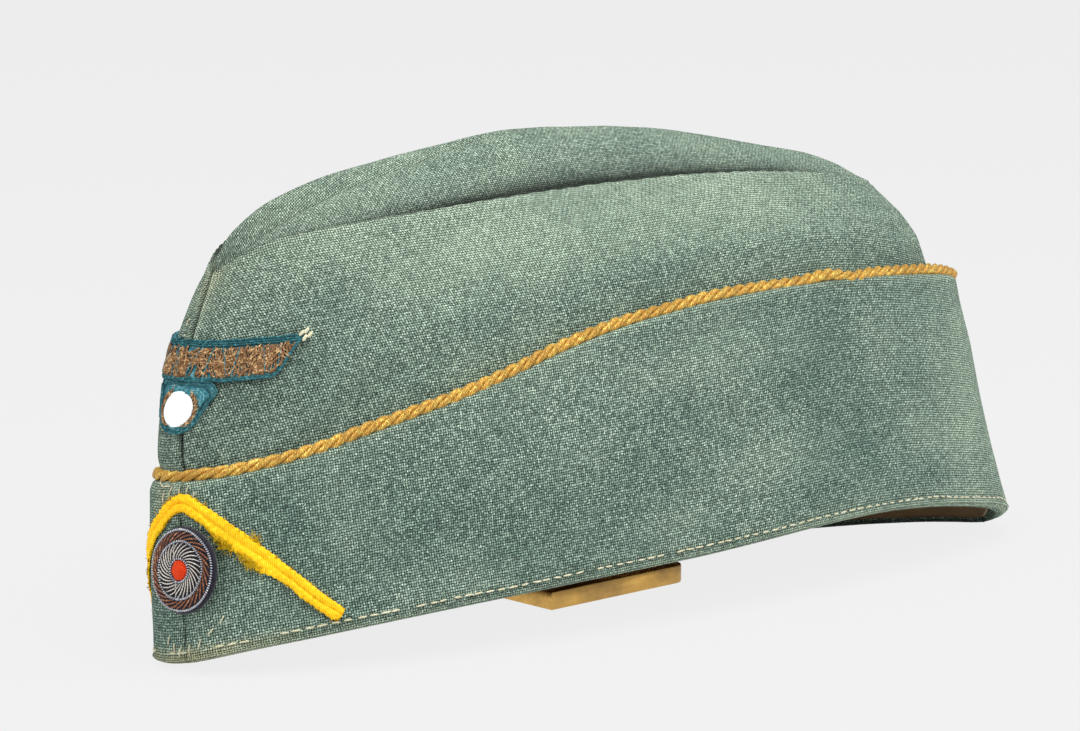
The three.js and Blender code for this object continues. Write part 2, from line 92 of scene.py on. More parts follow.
def hump(x, middle, width):
    return np.exp(-((x - middle) / width) ** 2)


def unit(v):
    return v / np.maximum(np.linalg.norm(v, axis=-1, keepdims=True), 1e-12)


def catmull(a, b, c, d, t):
    return b + 0.5 * t * (c - a + t * (2 * a - 5 * b + 4 * c - d + t * (3 * (b - c) + d - a)))


def roundOval(column, turn):
    place = np.asarray(turn, float) / 30
    first = np.floor(place).astype(int)
    values = stations[:, column]
    picks = [values[(first + k) % 12] for k in (-1, 0, 1, 2)]
    return catmull(*picks, place - first)


def crestAt(column, y):
    place = y / capShape["halfLength"]
    last = np.clip(np.searchsorted(crest[:, 0], place, side="right"), 1, len(crest) - 1)
    start, end = crest[last - 1, 0], crest[last, 0]
    part = np.clip((place - start) / (end - start), 0, 1)
    values = crest[:, column]
    picks = [values[np.clip(last - 1 + k, 0, len(crest) - 1)] for k in (-1, 0, 1, 2)]
    return catmull(*picks, part)


def alongCrest(column, y):  # averaged over 20 mm, and over less near the ends, since wool bends softly
    first, last = crest[0, 0] * capShape["halfLength"], crest[-1, 0] * capShape["halfLength"]
    reach = np.clip(np.minimum(y - first, last - y), 0, 0.01)
    return sum(crestAt(column, y + reach * step) for step in np.linspace(-1, 1, 7)) / 7


# Plain outer face of the crown cloth: turn in degrees round the oval, rise 0 hem, 1/3 fold, 1 ridge
def crownPoint(turn, rise):
    turn, rise = np.broadcast_arrays(np.asarray(turn, float), np.asarray(rise, float))
    angle = np.radians(turn)
    cos, sin = np.cos(angle), np.sin(angle)
    hem = capShape["hemLift"] * roundOval(0, turn)
    fold = capShape["foldTop"] * roundOval(1, turn)
    ridge = capShape["ridgeTop"] * roundOval(2, turn)
    heights = [hem, fold, lerp(fold, ridge, capShape["shoulderShare"]), ridge]
    rows = []
    for (front, rear, half, power), height in zip(sections, heights):
        reach = capShape["halfLength"] * np.where(cos > 0, front, rear)
        sharp = 2 / np.where(cos > 0, power, 2)
        x = np.sign(sin) * capShape["halfWidth"] * half * np.abs(sin) ** sharp
        y = -np.sign(cos) * reach * np.abs(cos) ** sharp
        rows.append(np.stack([x, y, np.maximum(height, 0)], -1))
    rows = np.stack(rows)
    place = rise * 3
    first = np.clip(np.floor(np.clip(place, 0, 2.9999)), 0, 2).astype(int)
    picks = []
    for k in (-1, 0, 1, 2):
        index = np.clip(first + k, 0, 3)[None, ..., None]
        picks.append(np.take_along_axis(rows, index, 0)[0])
    point = catmull(*picks, (place - first)[..., None])
    point[..., 0] -= leanSlope * point[..., 2]
    return point


def tangents(face, turn, rise):
    alongTurn = (face(turn + 0.05, rise) - face(turn - 0.05, rise)) / 0.1
    alongRise = (face(turn, rise + 0.0005) - face(turn, rise - 0.0005)) / 0.001
    return alongTurn, alongRise, unit(np.cross(alongTurn, alongRise))


def offFace(face, turn, rise, out):
    turn, rise = np.asarray(turn, float), np.asarray(rise, float)
    normal = tangents(face, turn, rise)[2]
    point = face(turn, rise) + normal * np.asarray(out, float)[..., None]
    point[..., 2] = np.maximum(point[..., 2], 0)
    return point


def flareAt(turn, share):
    return capShape["flapFlare"] * roundOval(3, turn) * share * share


def flapEnd(turn):
    alongRise = tangents(crownPoint, turn, np.full_like(np.asarray(turn, float), foldRise))[1]
    return 1 - 0.0011 / (foldRise * np.linalg.norm(alongRise, axis=-1))


def frontTurn(rise):
    return capShape["frontSeamTurn"] * (1 - np.abs(rise) ** 3)


def fromSeam(turn, rise):  # metres from the front seam, near side positive
    return (turn - frontTurn(rise)) * endArc


def fromBack(turn):
    return (180 - np.abs(turn)) * endArc


def groove(distance, width):
    return np.exp(-(np.abs(distance) / width) ** 1.5)


def softNoise(x, y, size, seed):
    px, py = np.asarray(x, float) / size, np.asarray(y, float) / size
    ix, iy = np.floor(px), np.floor(py)
    fx, fy = px - ix, py - iy
    fx, fy = fx * fx * (3 - 2 * fx), fy * fy * (3 - 2 * fy)

    def corner(dx, dy):
        n = np.sin((ix + dx) * 127.1 + (iy + dy) * 311.7 + seed * 74.7) * 43758.5453
        return n - np.floor(n)
    low = lerp(corner(0, 0), corner(1, 0), fx)
    high = lerp(corner(0, 1), corner(1, 1), fx)
    return lerp(low, high, fy) * 2 - 1


def wrinkled(x, y, layers):
    return sum(height * softNoise(x, y, size, seed) for height, size, seed in layers)


# Folds and creases of the sides, as turn, rise, half length, half width, slope and height
crownCreases = (
    (62, 0.84, 10, 0.03, 0.006, -0.00064), (30, 0.43, 9, 0.05, 0.004, -0.00176),
    (48, 0.40, 10, 0.05, 0.006, -0.00096), (120, 0.75, 22, 0.10, 0.006, -0.00128),
    (95, 0.80, 20, 0.06, 0.004, 0.00096), (150, 0.55, 12, 0.09, 0.004, -0.00112),
    (12, 0.55, 6, 0.05, 0.0, -0.00096), (75, 0.60, 24, 0.09, 0.003, 0.0008))
flapCreases = (
    (22, 0.62, 9, 0.10, 0.012, -0.00096), (75, 0.55, 30, 0.16, 0.004, 0.00112),
    (120, 0.45, 20, 0.14, -0.004, -0.00128), (150, 0.7, 14, 0.12, 0.0, 0.00112),
    (52, 0.35, 14, 0.10, 0.006, -0.0008), (100, 0.86, 12, 0.05, 0.002, -0.0008))


def creased(creases, turn, rise):
    return sum(height * hump(turn, middle, long) * hump(rise - level - slope * (turn - middle), 0, wide)
               for middle, level, long, wide, slope, height in creases)


def crownRelief(turn, rise):
    s, h = turn * sideArc, rise * crown["height"]
    relief = wrinkled(s, h, crown["wrinkles"]) + creased(crownCreases, turn, rise)
    seam = fromSeam(turn, rise)
    strip = smooth(-0.0032, -0.0026, seam) * (1 - smooth(-0.0008, -0.0002, seam))  # felled seam
    relief = relief + 0.0008 * strip * smooth(0.3, 0.5, rise)
    relief = relief - 0.0006 * (groove(seam, 0.0006) + groove(fromBack(turn), 0.0006))
    relief = relief + 0.0007 * hump(turn, 0, 22) * hump(rise, 0.44, 0.1)
    relief = relief - 0.0012 * hump(turn, 0, 30) * hump(rise, 0.335, 0.025)  # the cord pulls in
    pucker = np.sin(turn * 2.1 + 3 * softNoise(s, 0, 0.02, 9)) * smooth(0.9, 1.0, rise)
    return relief + 0.00022 * pucker


def flapRelief(turn, share):
    band = share * flap["height"]  # height above the hem, roughly
    relief = wrinkled(turn * 0.0022, share * 0.05, flap["wrinkles"]) + creased(flapCreases, turn, share)
    relief = relief - 0.0003 * groove(fromSeam(turn, 0), 0.0005) - 0.0006 * groove(fromBack(turn), 0.0007)
    relief = relief - 0.00035 * hump(band, 0.0036, 0.0006)  # pull of the hem stitches
    relief = relief + 0.0003 * hump(band, 0.0018, 0.0014)
    roll = 0.0010 * (1 - smooth(0.0, 0.0032, band)) ** 2  # the hem turns under
    upright = 0.0009 * (0.45 - share) * 2 * hump(turn, 0, 30)  # the front stands straight
    return relief - roll + upright - 0.0009 * smooth(0.93, 1.0, share) * hump(turn, 0, 40)


# A face of the turn-up: share 0 hem, 1 top edge; out is measured from its outer face
def flapFace(turn, share, out=0.0):
    end = flapEnd(turn) * share
    lift = capShape["clearance"] + flareAt(turn, end) + flap["wall"]
    return offFace(crownPoint, turn, foldRise * end, lift + out + flapRelief(turn, share))


def topEdge(turn):
    rise = np.full_like(np.asarray(turn, float), 1 - capShape["ridgeLip"])
    return offFace(crownPoint, turn, rise, np.full_like(rise, -crown["wall"] - 0.0004))


# Outer face of the top: across 0 ridge, 1 centre seam
def topFace(turn, across):
    turn, across = np.broadcast_arrays(np.asarray(turn, float), np.asarray(across, float))
    edge = topEdge(turn)
    x, y, z = edge[..., 0], edge[..., 1], edge[..., 2]
    inward = lerp(x + leanSlope * z, 0, across)
    swell = np.abs(np.sin(across * math.pi / 2)) ** capShape["topFullness"]
    puff = capShape["farPuff"] * alongCrest(2, y) * np.sin(math.pi * across) ** 2
    height = lerp(z, capShape["crestTop"] * alongCrest(1, y), swell) + np.where(turn < 0, puff, 0)
    relief = 0.0004 * softNoise(y, across * 0.03, 0.022, 31) * np.sin(math.pi * across)
    relief = relief + 0.00012 * softNoise(y, across * 0.03, 0.007, 32)
    near = (1 - across) * np.abs(x + leanSlope * z)  # metres from the centre seam
    relief = relief - 0.0007 * groove(near, 0.0007)
    height = height + relief + 0.0005 * hump(near, 0.0028, 0.0016) * np.where(turn < 0, 1.0, 0.5)
    return np.stack([inward - leanSlope * height, y, height], -1)


# Meshes from grids of points

def linkObject(name, data):
    made = bpy.data.objects.new(name, data)
    bpy.context.scene.collection.objects.link(made)
    return made


def linkMesh(name, points, faces, material, uv=None, floats=None):
    mesh = bpy.data.meshes.new(name)
    mesh.from_pydata(np.asarray(points, float).reshape(-1, 3).tolist(), [], faces)
    mesh.update()
    corners = np.zeros(len(mesh.loops), np.int32)
    mesh.loops.foreach_get("vertex_index", corners)
    if uv is not None:
        layer = mesh.uv_layers.new(name="UVMap")
        layer.data.foreach_set("uv", np.asarray(uv, np.float32).reshape(-1, 2)[corners].ravel())
    for key, values in (floats or {}).items():
        attribute = mesh.attributes.new(key, "FLOAT", "POINT")
        attribute.data.foreach_set("value", np.asarray(values, np.float32).ravel())
    mesh.shade_smooth()
    mesh.materials.append(material)
    return linkObject(name, mesh)


def gridFaces(rows, columns, closedRows=False, closedColumns=False, start=0):
    r, c = np.meshgrid(np.arange(rows if closedRows else rows - 1),
                       np.arange(columns if closedColumns else columns - 1), indexing="ij")
    r2, c2 = (r + 1) % rows, (c + 1) % columns
    quads = np.stack([r * columns + c, r * columns + c2, r2 * columns + c2, r2 * columns + c], -1)
    return (quads.reshape(-1, 4) + start).tolist()


def closedFaces(rows, columns, start=0, inward=False):  # rings of points, with a face at each end
    faces = gridFaces(rows, columns, closedColumns=True, start=start)
    faces.append([start + k for k in range(columns)][::-1])
    faces.append([start + (rows - 1) * columns + k for k in range(columns)])
    return [face[::-1] for face in faces] if inward else faces


def bandFaces(rows, columns):  # upper rows and then the lower ones backwards, closed all round
    faces = gridFaces(2 * rows, columns, closedRows=True)
    for column in (0, columns - 1):
        for k in range(rows - 1):
            quad = [row * columns + column for row in (k, k + 1, 2 * rows - 2 - k, 2 * rows - 1 - k)]
            faces.append(quad if column == 0 else quad[::-1])
    return faces


def runAlong(points):  # metres walked from the first point of each row
    steps = np.linalg.norm(np.diff(points, axis=-2), axis=-1)
    return np.concatenate([0 * steps[..., :1], np.cumsum(steps, -1)], -1)


def atRun(places, run, values):
    return np.stack([np.interp(places, run, values[:, k]) for k in range(3)], -1)


# Cloth with rounded lower and upper edges: place(u, v, out) gives its points, u along and v up
def clothPanel(name, place, columns, rows, wall, length, material, marksAndShade=None):
    radius = wall / 2
    share = radius / length
    levels = lerp(share, 1 - share, np.linspace(0, 1, rows))
    bends = np.linspace(0, math.pi, 7)[1:-1]
    upper = np.stack([1 - share + share * np.sin(bends), radius * (np.cos(bends) - 1)], -1)
    lower = np.stack([share - share * np.sin(bends), -radius * (np.cos(bends) + 1)], -1)
    outside = np.stack([levels, 0 * levels], -1)
    inside = np.stack([levels[::-1], 0 * levels - wall], -1)
    profile = np.concatenate([outside, upper, inside, lower])
    u, v = np.meshgrid(np.linspace(0, 1, columns), profile[:, 0])
    out = np.repeat(profile[:, 1:], columns, 1)
    grid = place(u, v, out)
    across = runAlong(grid)
    across = across - across[:, columns // 2, None]
    uv = np.stack([across, runAlong(grid.swapaxes(0, 1)).T], -1)
    turnOver = rows + len(bends)
    uv[turnOver:turnOver + rows] = uv[:rows][::-1]
    faces = gridFaces(len(profile), columns, closedRows=True)
    for column in (0, columns - 1):  # close both ends, outer row to inner row
        ring = [row * columns + column for row in range(len(profile))]
        pairs = [[ring[k], ring[k + 1], ring[turnOver + rows - 2 - k], ring[turnOver + rows - 1 - k]]
                 for k in range(rows - 1)]
        pairs.append(ring[rows - 1:turnOver + 1])
        pairs.append(ring[turnOver + rows - 1:] + [ring[0]])
        faces += [pair if column == 0 else pair[::-1] for pair in pairs]
    floats = {}
    if marksAndShade:
        # wear and soil are marks of use; deep is painted shade
        floats = {key: np.clip(values, 0, 1) for key, values in zip(("wear", "soil", "deep"), marksAndShade(u, v))}
    return linkMesh(name, grid, faces, material, uv, floats)


# Round tube along rows of centres: one row of points, or several tubes of equal count
def tubes(name, centres, radius, sides, material, out=None, yarn=0.0, yarnTurns=0.0):
    centres = np.asarray(centres, float)
    count, length = centres.shape[:2]
    ahead = unit(np.gradient(centres, axis=1))
    if out is None:
        out = np.zeros_like(centres) + np.array([0.31, 0.17, 0.93])
    side = unit(np.cross(ahead, out))
    up = np.cross(side, ahead)
    angle = np.linspace(0, 2 * math.pi, sides, endpoint=False)
    run = runAlong(centres)
    size = np.broadcast_to(np.asarray(radius, float), (count, length))[..., None]
    size = size * (1 + yarn * np.cos(3 * angle + 2 * math.pi * yarnTurns * run[..., None]))
    points = centres[:, :, None] + size[..., None] * (
        np.cos(angle)[:, None] * up[:, :, None] + np.sin(angle)[:, None] * side[:, :, None])
    uv = np.stack(np.broadcast_arrays(run[..., None], angle / (2 * math.pi)), -1)
    faces = []
    for k in range(count):
        faces += closedFaces(length, sides, k * length * sides, True)
    return linkMesh(name, points, faces, material, uv)


def keep(piece, slotName, *nodes):
    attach(piece, "root")
    if nodes:
        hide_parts(*nodes)


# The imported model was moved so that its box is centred: the same move for these surfaces
def frameMove():
    turns, rises = np.meshgrid(np.linspace(capShape["frontSeamTurn"], 180, 31), np.linspace(0, 1, 13))
    widest = crownPoint(turns, rises)[..., 0].max()
    foremost = -sections[0][0] * capShape["halfLength"]
    return np.array([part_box("crown_side_near")[1].x - widest,
                     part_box("crown_side_far")[0].y - foremost, 0])


shift = frameMove()
print("surfaces ready, moved by", shift.round(5))


# Shader helpers

def tone(red, green, blue):
    linear = [(c / 255) / 12.92 if c < 11 else (((c / 255) + 0.055) / 1.055) ** 2.4
              for c in (red, green, blue)]
    return (*linear, 1)


def addNode(tree, kind, inputs=None, **settings):
    made = tree.nodes.new(kind)
    for key, value in settings.items():  # a group's tree is set here, before its inputs
        setattr(made, key, value)
    for key, value in (inputs or {}).items():
        if isinstance(value, bpy.types.NodeSocket):
            tree.links.new(value, made.inputs[key])
        else:
            made.inputs[key].default_value = value
    return made


def calc(tree, operation, a, b=0.0):
    return addNode(tree, "ShaderNodeMath", {0: a, 1: b}, operation=operation).outputs[0]


def vectorCalc(tree, operation, a, b):
    socket = 3 if operation == "SCALE" else 1
    return addNode(tree, "ShaderNodeVectorMath", {0: a, socket: b}, operation=operation).outputs[0]


def mixTone(tree, factor, a, b, blend="MIX"):
    return addNode(tree, "ShaderNodeMix", {0: factor, 6: a, 7: b}, data_type="RGBA",
                   blend_type=blend).outputs[2]


def shadeBy(tree, colour, value):
    grey = addNode(tree, "ShaderNodeCombineColor", {0: value, 1: value, 2: value}).outputs[0]
    return mixTone(tree, 1.0, colour, grey, "MULTIPLY")


def remap(tree, value, low, high, toLow=0.0, toHigh=1.0):
    return addNode(tree, "ShaderNodeMapRange", {0: value, 1: low, 2: high, 3: toLow, 4: toHigh},
                   clamp=True).outputs[0]


def grain(tree, vector, scale, detail=3.0, roughness=0.6):
    return addNode(tree, "ShaderNodeTexNoise", {"Vector": vector, "Scale": scale, "Detail": detail,
                                                "Roughness": roughness}).outputs[0]


def newGroup(name, inputs, outputs):
    tree = bpy.data.node_groups.new(name, "ShaderNodeTree")
    for key, kind, value in inputs:
        socket = tree.interface.new_socket(key, in_out="INPUT", socket_type=kind)
        if value is not None:
            socket.default_value = value
    for key, kind in outputs:
        tree.interface.new_socket(key, in_out="OUTPUT", socket_type=kind)
    return tree, tree.nodes.new("NodeGroupInput").outputs, tree.nodes.new("NodeGroupOutput").inputs


# Crossing yarns: height of the weave, and a random value for each float of yarn
def weaveGroup():
    tree, given, result = newGroup("crossingYarns", [
        ("Vector", "NodeSocketVector", None), ("Threads", "NodeSocketFloat", 1100.0),
        ("Wander", "NodeSocketFloat", 0.3), ("Twill", "NodeSocketFloat", 0.2)],
        [("Height", "NodeSocketFloat"), ("Yarn", "NodeSocketFloat")])
    scaled = vectorCalc(tree, "SCALE", given["Vector"], given["Threads"])
    drift = addNode(tree, "ShaderNodeTexNoise", {"Vector": scaled, "Scale": 0.4, "Detail": 2.0}).outputs[1]
    drift = vectorCalc(tree, "SUBTRACT", drift, (0.5, 0.5, 0.5))
    drift = vectorCalc(tree, "SCALE", drift, given["Wander"])
    place = addNode(tree, "ShaderNodeSeparateXYZ", {0: vectorCalc(tree, "ADD", scaled, drift)}).outputs
    x, y = place[0], place[1]
    waves = calc(tree, "MULTIPLY", calc(tree, "SINE", calc(tree, "MULTIPLY", x, math.pi)),
                 calc(tree, "SINE", calc(tree, "MULTIPLY", y, math.pi)))
    bumps = calc(tree, "POWER", calc(tree, "ABSOLUTE", waves), 0.6)
    slant = calc(tree, "SINE", calc(tree, "MULTIPLY", calc(tree, "SUBTRACT", x, y), math.pi))
    slant = remap(tree, slant, -1, 1)
    height = addNode(tree, "ShaderNodeMix", {0: given["Twill"], 2: bumps, 3: slant}).outputs[0]
    tree.links.new(height, result["Height"])
    cell = addNode(tree, "ShaderNodeCombineXYZ", {
        0: calc(tree, "FLOOR", x), 1: calc(tree, "FLOOR", y), 2: calc(tree, "SIGN", waves)}).outputs[0]
    yarn = addNode(tree, "ShaderNodeTexWhiteNoise", {"Vector": cell}, noise_dimensions="3D").outputs[0]
    tree.links.new(yarn, result["Yarn"])
    return tree


# Rubbed edges go pale, soiled places go yellow-brown, and the deep mark paints shade into creases and seams
def wearSoilAndShadeGroup():
    tree, given, result = newGroup("rubbedSoiledAndPaintedShade", [
        ("Color", "NodeSocketColor", None), ("Pale", "NodeSocketColor", None),
        ("Soil", "NodeSocketColor", None), ("Vector", "NodeSocketVector", None)],
        [("Color", "NodeSocketColor")])

    def mark(key):
        return addNode(tree, "ShaderNodeAttribute", attribute_name=key).outputs["Fac"]
    patchy = remap(tree, grain(tree, given["Vector"], 260.0, 4.0), 0.3, 0.7, 0.35, 1.0)
    colour = given["Color"]
    for key, tint in (("wear", given["Pale"]), ("soil", given["Soil"])):
        colour = mixTone(tree, calc(tree, "MULTIPLY", mark(key), patchy), colour, tint)
    # painted shade: the deep mark multiplies the colour down to 0.12 of it
    shade = remap(tree, mark("deep"), 0, 1, 1.0, 0.12)
    tree.links.new(shadeBy(tree, colour, shade), result["Color"])
    return tree


def placeGroup(tree, group, **values):
    return addNode(tree, "ShaderNodeGroup", values, node_tree=group)


crossingYarns = weaveGroup()
rubbedSoiledAndPaintedShade = wearSoilAndShadeGroup()


def newMaterial(name, roughness, metallic=0.0, sheen=0.0, sheenTint=(1, 1, 1, 1), specular=0.3):
    material = bpy.data.materials.new(name)
    material.use_nodes = True
    tree = material.node_tree
    shader = tree.nodes["Principled BSDF"]
    shader.inputs["Roughness"].default_value = roughness
    shader.inputs["Metallic"].default_value = metallic
    shader.inputs["Specular IOR Level"].default_value = specular
    shader.inputs["Sheen Weight"].default_value = sheen
    shader.inputs["Sheen Roughness"].default_value = 0.5
    shader.inputs["Sheen Tint"].default_value = sheenTint
    return material, tree, shader


def setSurface(tree, shader, colour, height, depth, strength=1.0):
    bump = addNode(tree, "ShaderNodeBump", {"Height": height, "Distance": depth, "Strength": strength})
    tree.links.new(colour, shader.inputs["Base Color"])
    tree.links.new(bump.outputs[0], shader.inputs["Normal"])


def uvPlace(tree):
    return addNode(tree, "ShaderNodeUVMap", uv_map="UVMap").outputs[0]


def objectPlace(tree):
    return addNode(tree, "ShaderNodeTexCoord").outputs["Object"]


# Field-grey wool: dark, middle and pale fibres carded together, then woven plain
def woolCloth(name, look):
    material, tree, shader = newMaterial(name, 0.92, sheen=look["sheen"], sheenTint=tone(190, 205, 190),
                                         specular=0.15)
    place, body = uvPlace(tree), objectPlace(tree)
    weave = placeGroup(tree, crossingYarns, Vector=place, Threads=look["threads"], Wander=0.55,
                       Twill=look["twill"])
    height, yarn = weave.outputs
    fibre = grain(tree, body, 3300.0, 2.0, 0.8)
    fleck = calc(tree, "ADD", calc(tree, "MULTIPLY", yarn, 0.22), calc(tree, "MULTIPLY", fibre, 1.1))
    colour = mixTone(tree, remap(tree, fleck, 0.4, 0.8), look["dark"], look["middle"])
    colour = mixTone(tree, remap(tree, fleck, 0.72, 0.98), colour, look["pale"])
    patches = remap(tree, grain(tree, body, 24.0, 5.0), 0.34, 0.66)
    colour = mixTone(tree, calc(tree, "MULTIPLY", patches, 0.8), colour,
                     mixTone(tree, 1.0, colour, look["cast"], "MULTIPLY"))
    markedAndShaded = placeGroup(tree, rubbedSoiledAndPaintedShade, Color=colour, Vector=body, Pale=look["worn"],
                      Soil=look["soil"])
    # painted light and shade on the weave: the colour is multiplied by 0 in the deepest hollows up to 1.95 on
    # the crests
    weaveLightAndShade = remap(tree, calc(tree, "ADD", height, calc(tree, "MULTIPLY", fibre, 0.7)),
                   0.5, 1.25, 0.0, 1.95)
    rough = calc(tree, "ADD", calc(tree, "MULTIPLY", height, 0.9), calc(tree, "MULTIPLY", fibre, 1.1))
    setSurface(tree, shader, shadeBy(tree, markedAndShaded.outputs[0], weaveLightAndShade), rough, look["depth"], 0.9)
    return material


wool = {"threads": 1480.0, "twill": 0.15, "depth": 0.0004, "sheen": 0.06,
        "dark": tone(44, 58, 52), "middle": tone(146, 167, 148), "pale": tone(216, 229, 207),
        "cast": tone(190, 205, 208), "worn": tone(190, 207, 181), "soil": tone(180, 172, 128)}
woolFlap = dict(wool, middle=tone(132, 154, 138), dark=tone(44, 60, 53), twill=0.1)
crownWool = woolCloth("crownWool", wool)
flapWool = woolCloth("turnUpWool", woolFlap)


def liningCloth():
    material, tree, shader = newMaterial("liningTwill", 0.85, sheen=0.1, specular=0.2)
    place, body = uvPlace(tree), objectPlace(tree)
    weave = placeGroup(tree, crossingYarns, Vector=place, Threads=2200.0, Wander=0.2, Twill=0.8)
    stain = remap(tree, grain(tree, body, 30.0, 4.0), 0.35, 0.7)
    colour = mixTone(tree, stain, tone(196, 166, 124), tone(152, 122, 88))
    # painted shade: darker brown where the twill weave is low
    colour = mixTone(tree, remap(tree, weave.outputs[0], 0.1, 0.9, 0.5, 0.0), colour, tone(70, 52, 36))
    setSurface(tree, shader, colour, weave.outputs[0], 0.00012)
    return material


# Thread or cord whose UV runs along it in metres and round it in turns
def threadMaterial(name, base, deep, bright, twist, roughness, metallic=0.0, depth=0.00012,
                   patch=90.0):
    material, tree, shader = newMaterial(name, roughness, metallic, specular=0.4)
    place = addNode(tree, "ShaderNodeSeparateXYZ", {0: uvPlace(tree)}).outputs
    phase = calc(tree, "ADD", calc(tree, "MULTIPLY", place[0], twist * 2 * math.pi),
                 calc(tree, "MULTIPLY", place[1], 6 * math.pi))
    fine = calc(tree, "POWER", calc(tree, "ABSOLUTE", calc(tree, "SINE", phase)), 0.7)
    body = objectPlace(tree)
    # painted shade: the deep tone fills the grooves between the twisted fibres
    colour = mixTone(tree, remap(tree, fine, 0.2, 0.8), deep, base)
    # painted glints: the bright tone at scattered spots on the fibres' crests
    glints = remap(tree, grain(tree, body, 1300.0, 2.0), 0.5, 0.62)
    colour = mixTone(tree, calc(tree, "MULTIPLY", glints, fine), colour, bright)
    dull = remap(tree, grain(tree, body, patch, 3.0), 0.45, 0.62, 0.0, 0.6)
    colour = mixTone(tree, dull, colour, mixTone(tree, 0.5, deep, base))
    hairs = calc(tree, "MULTIPLY", grain(tree, body, 2600.0, 2.0), 0.4)
    setSurface(tree, shader, colour, calc(tree, "ADD", fine, hairs), depth, 0.8)
    return material


liningTwill = liningCloth()
goldThread = threadMaterial("goldCordThread", tone(220, 164, 68), tone(84, 48, 16), tone(255, 230, 116),
                            900.0, 0.4, 0.25)
yellowWool = threadMaterial("yellowBraidWool", (1.0, 0.60, 0.0, 1), (0.86, 0.36, 0.0, 1),
                            (1.0, 0.74, 0.02, 1), 900.0, 0.9)
# the loose fibres get a lighter copy of the braid's wool, painted lighter to make up for the shade on the
# thin hairs
looseWool = threadMaterial("yellowLooseWool", (1.0, 0.64, 0.0, 1), (1.0, 0.52, 0.0, 1),
                           (1.0, 0.8, 0.03, 1), 900.0, 0.95)
creamThread = threadMaterial("creamStitchThread", tone(226, 220, 184), tone(176, 168, 132),
                             tone(248, 244, 222), 1400.0, 0.8)
silverWire = threadMaterial("silverPurlWire", tone(212, 216, 226), tone(110, 112, 126), tone(255, 255, 255),
                            1800.0, 0.35, 0.3, 0.00004)
spokeWire = threadMaterial("silverSpokeThread", tone(244, 236, 222), tone(150, 136, 126), tone(255, 252, 246),
                           2200.0, 0.45, 0.1, 0.00006)
bronzeThread = threadMaterial("bronzeThread", tone(164, 100, 66), tone(62, 34, 24), tone(244, 176, 130),
                              1500.0, 0.5, 0.1, 0.00008)
badgeBronze = threadMaterial("badgeBronzeThread", tone(154, 110, 68), tone(52, 32, 22), tone(250, 208, 146),
                             1500.0, 0.5, 0.1, 0.00006, patch=500.0)
tealThread = threadMaterial("tealBadgeThread", tone(54, 124, 134), tone(16, 66, 72), tone(132, 184, 194),
                            1500.0, 0.8, 0.0, 0.00008, patch=260.0)
rimThread = threadMaterial("tealRimThread", tone(24, 92, 98), tone(8, 40, 46), tone(84, 156, 164),
                           1500.0, 0.75, 0.0, 0.00008, patch=400.0)
paleThread = threadMaterial("paleDiscThread", tone(252, 252, 250), tone(238, 238, 236),
                            tone(255, 255, 255), 1500.0, 0.7, 0.0, 0.00005)


def feltCloth(name, roughness, tint, specular, hairs, low, deep, pale, relief):
    material, tree, shader = newMaterial(name, roughness, sheen=0.2, sheenTint=tint, specular=specular)
    fine = grain(tree, objectPlace(tree), *hairs)
    setSurface(tree, shader, mixTone(tree, remap(tree, fine, low, 0.7), deep, pale), fine, relief)
    return material


def brassMetal():
    material, tree, shader = newMaterial("standBrass", 0.32, metallic=1.0, specular=0.5)
    body = objectPlace(tree)
    drag = addNode(tree, "ShaderNodeMapping", {0: body, 3: (900.0, 40.0, 900.0)}).outputs[0]
    brushed = grain(tree, drag, 1.0, 3.0)
    tarnish = remap(tree, grain(tree, body, 55.0, 4.0), 0.42, 0.68)
    colour = mixTone(tree, tarnish, tone(226, 180, 98), tone(170, 138, 88))
    colour = mixTone(tree, remap(tree, brushed, 0.3, 0.7, 0.0, 0.35), colour, tone(150, 112, 60))
    rough = remap(tree, calc(tree, "ADD", brushed, tarnish), 0.3, 1.6, 0.2, 0.46)
    tree.links.new(rough, shader.inputs["Roughness"])
    setSurface(tree, shader, colour, brushed, 0.00004, 0.6)
    return material


cockadeDark = feltCloth("cockadeDarkCloth", 0.8, (1, 1, 1, 1), 0.2, (2200.0, 3.0), 0.35,
                        tone(10, 9, 16), tone(40, 38, 54), 0.0003)
cockadeRed = feltCloth("cockadeRedFelt", 0.95, tone(255, 150, 110), 0.1, (2600.0, 4.0, 0.7), 0.3,
                       tone(172, 32, 10), tone(242, 78, 32), 0.0004)
standBrass = brassMetal()
print("materials ready")


# Crown sides: cloth from the hem up to the ridge, seamed at the front and the rear
def sweep(side, share, front, rear):  # the near side runs from front to rear, the far side back again
    return lerp(front, rear, share) if side > 0 else lerp(-rear, front, share)


def columnTurn(side, share, rise):
    gap = crown["seamGap"] / endArc
    return sweep(side, share, frontTurn(rise) + side * gap, 180 - gap)


# Marks of use on the cloth, rubbed and soiled, and painted shade (deep): dark in the seams, along the ridge
# and towards the front
def crownMarksAndShade(turn, v):
    seam = fromSeam(turn, v)
    wear = 0.25 * smooth(0.93, 1.0, v) + 0.2 * smooth(0.72, 0.97, v) + 0.12 * softNoise(turn, v * 90, 14, 5)
    wear = wear + 0.7 * hump(seam, 0.0012, 0.0018) * smooth(0.3, 0.7, v)
    wear = wear + 0.34 * hump(np.abs(turn), 88, 34) * hump(v, 0.74, 0.22)
    # painted shade: dark in the front and rear seams, a painted shadow line along the top of the ridge's lip,
    # and darker towards the front
    deep = 0.75 * (np.exp(-np.abs(seam) / 0.00035) + np.exp(-fromBack(turn) / 0.00035))
    deep = deep + 0.9 * smooth(0.985, 0.998, v) * smooth(6, 20, np.abs(turn - frontTurn(v)))
    return wear, 0.35 * hump(turn, 4, 9) * smooth(0.75, 0.95, v), deep + 0.24 * hump(turn, 10, 36)


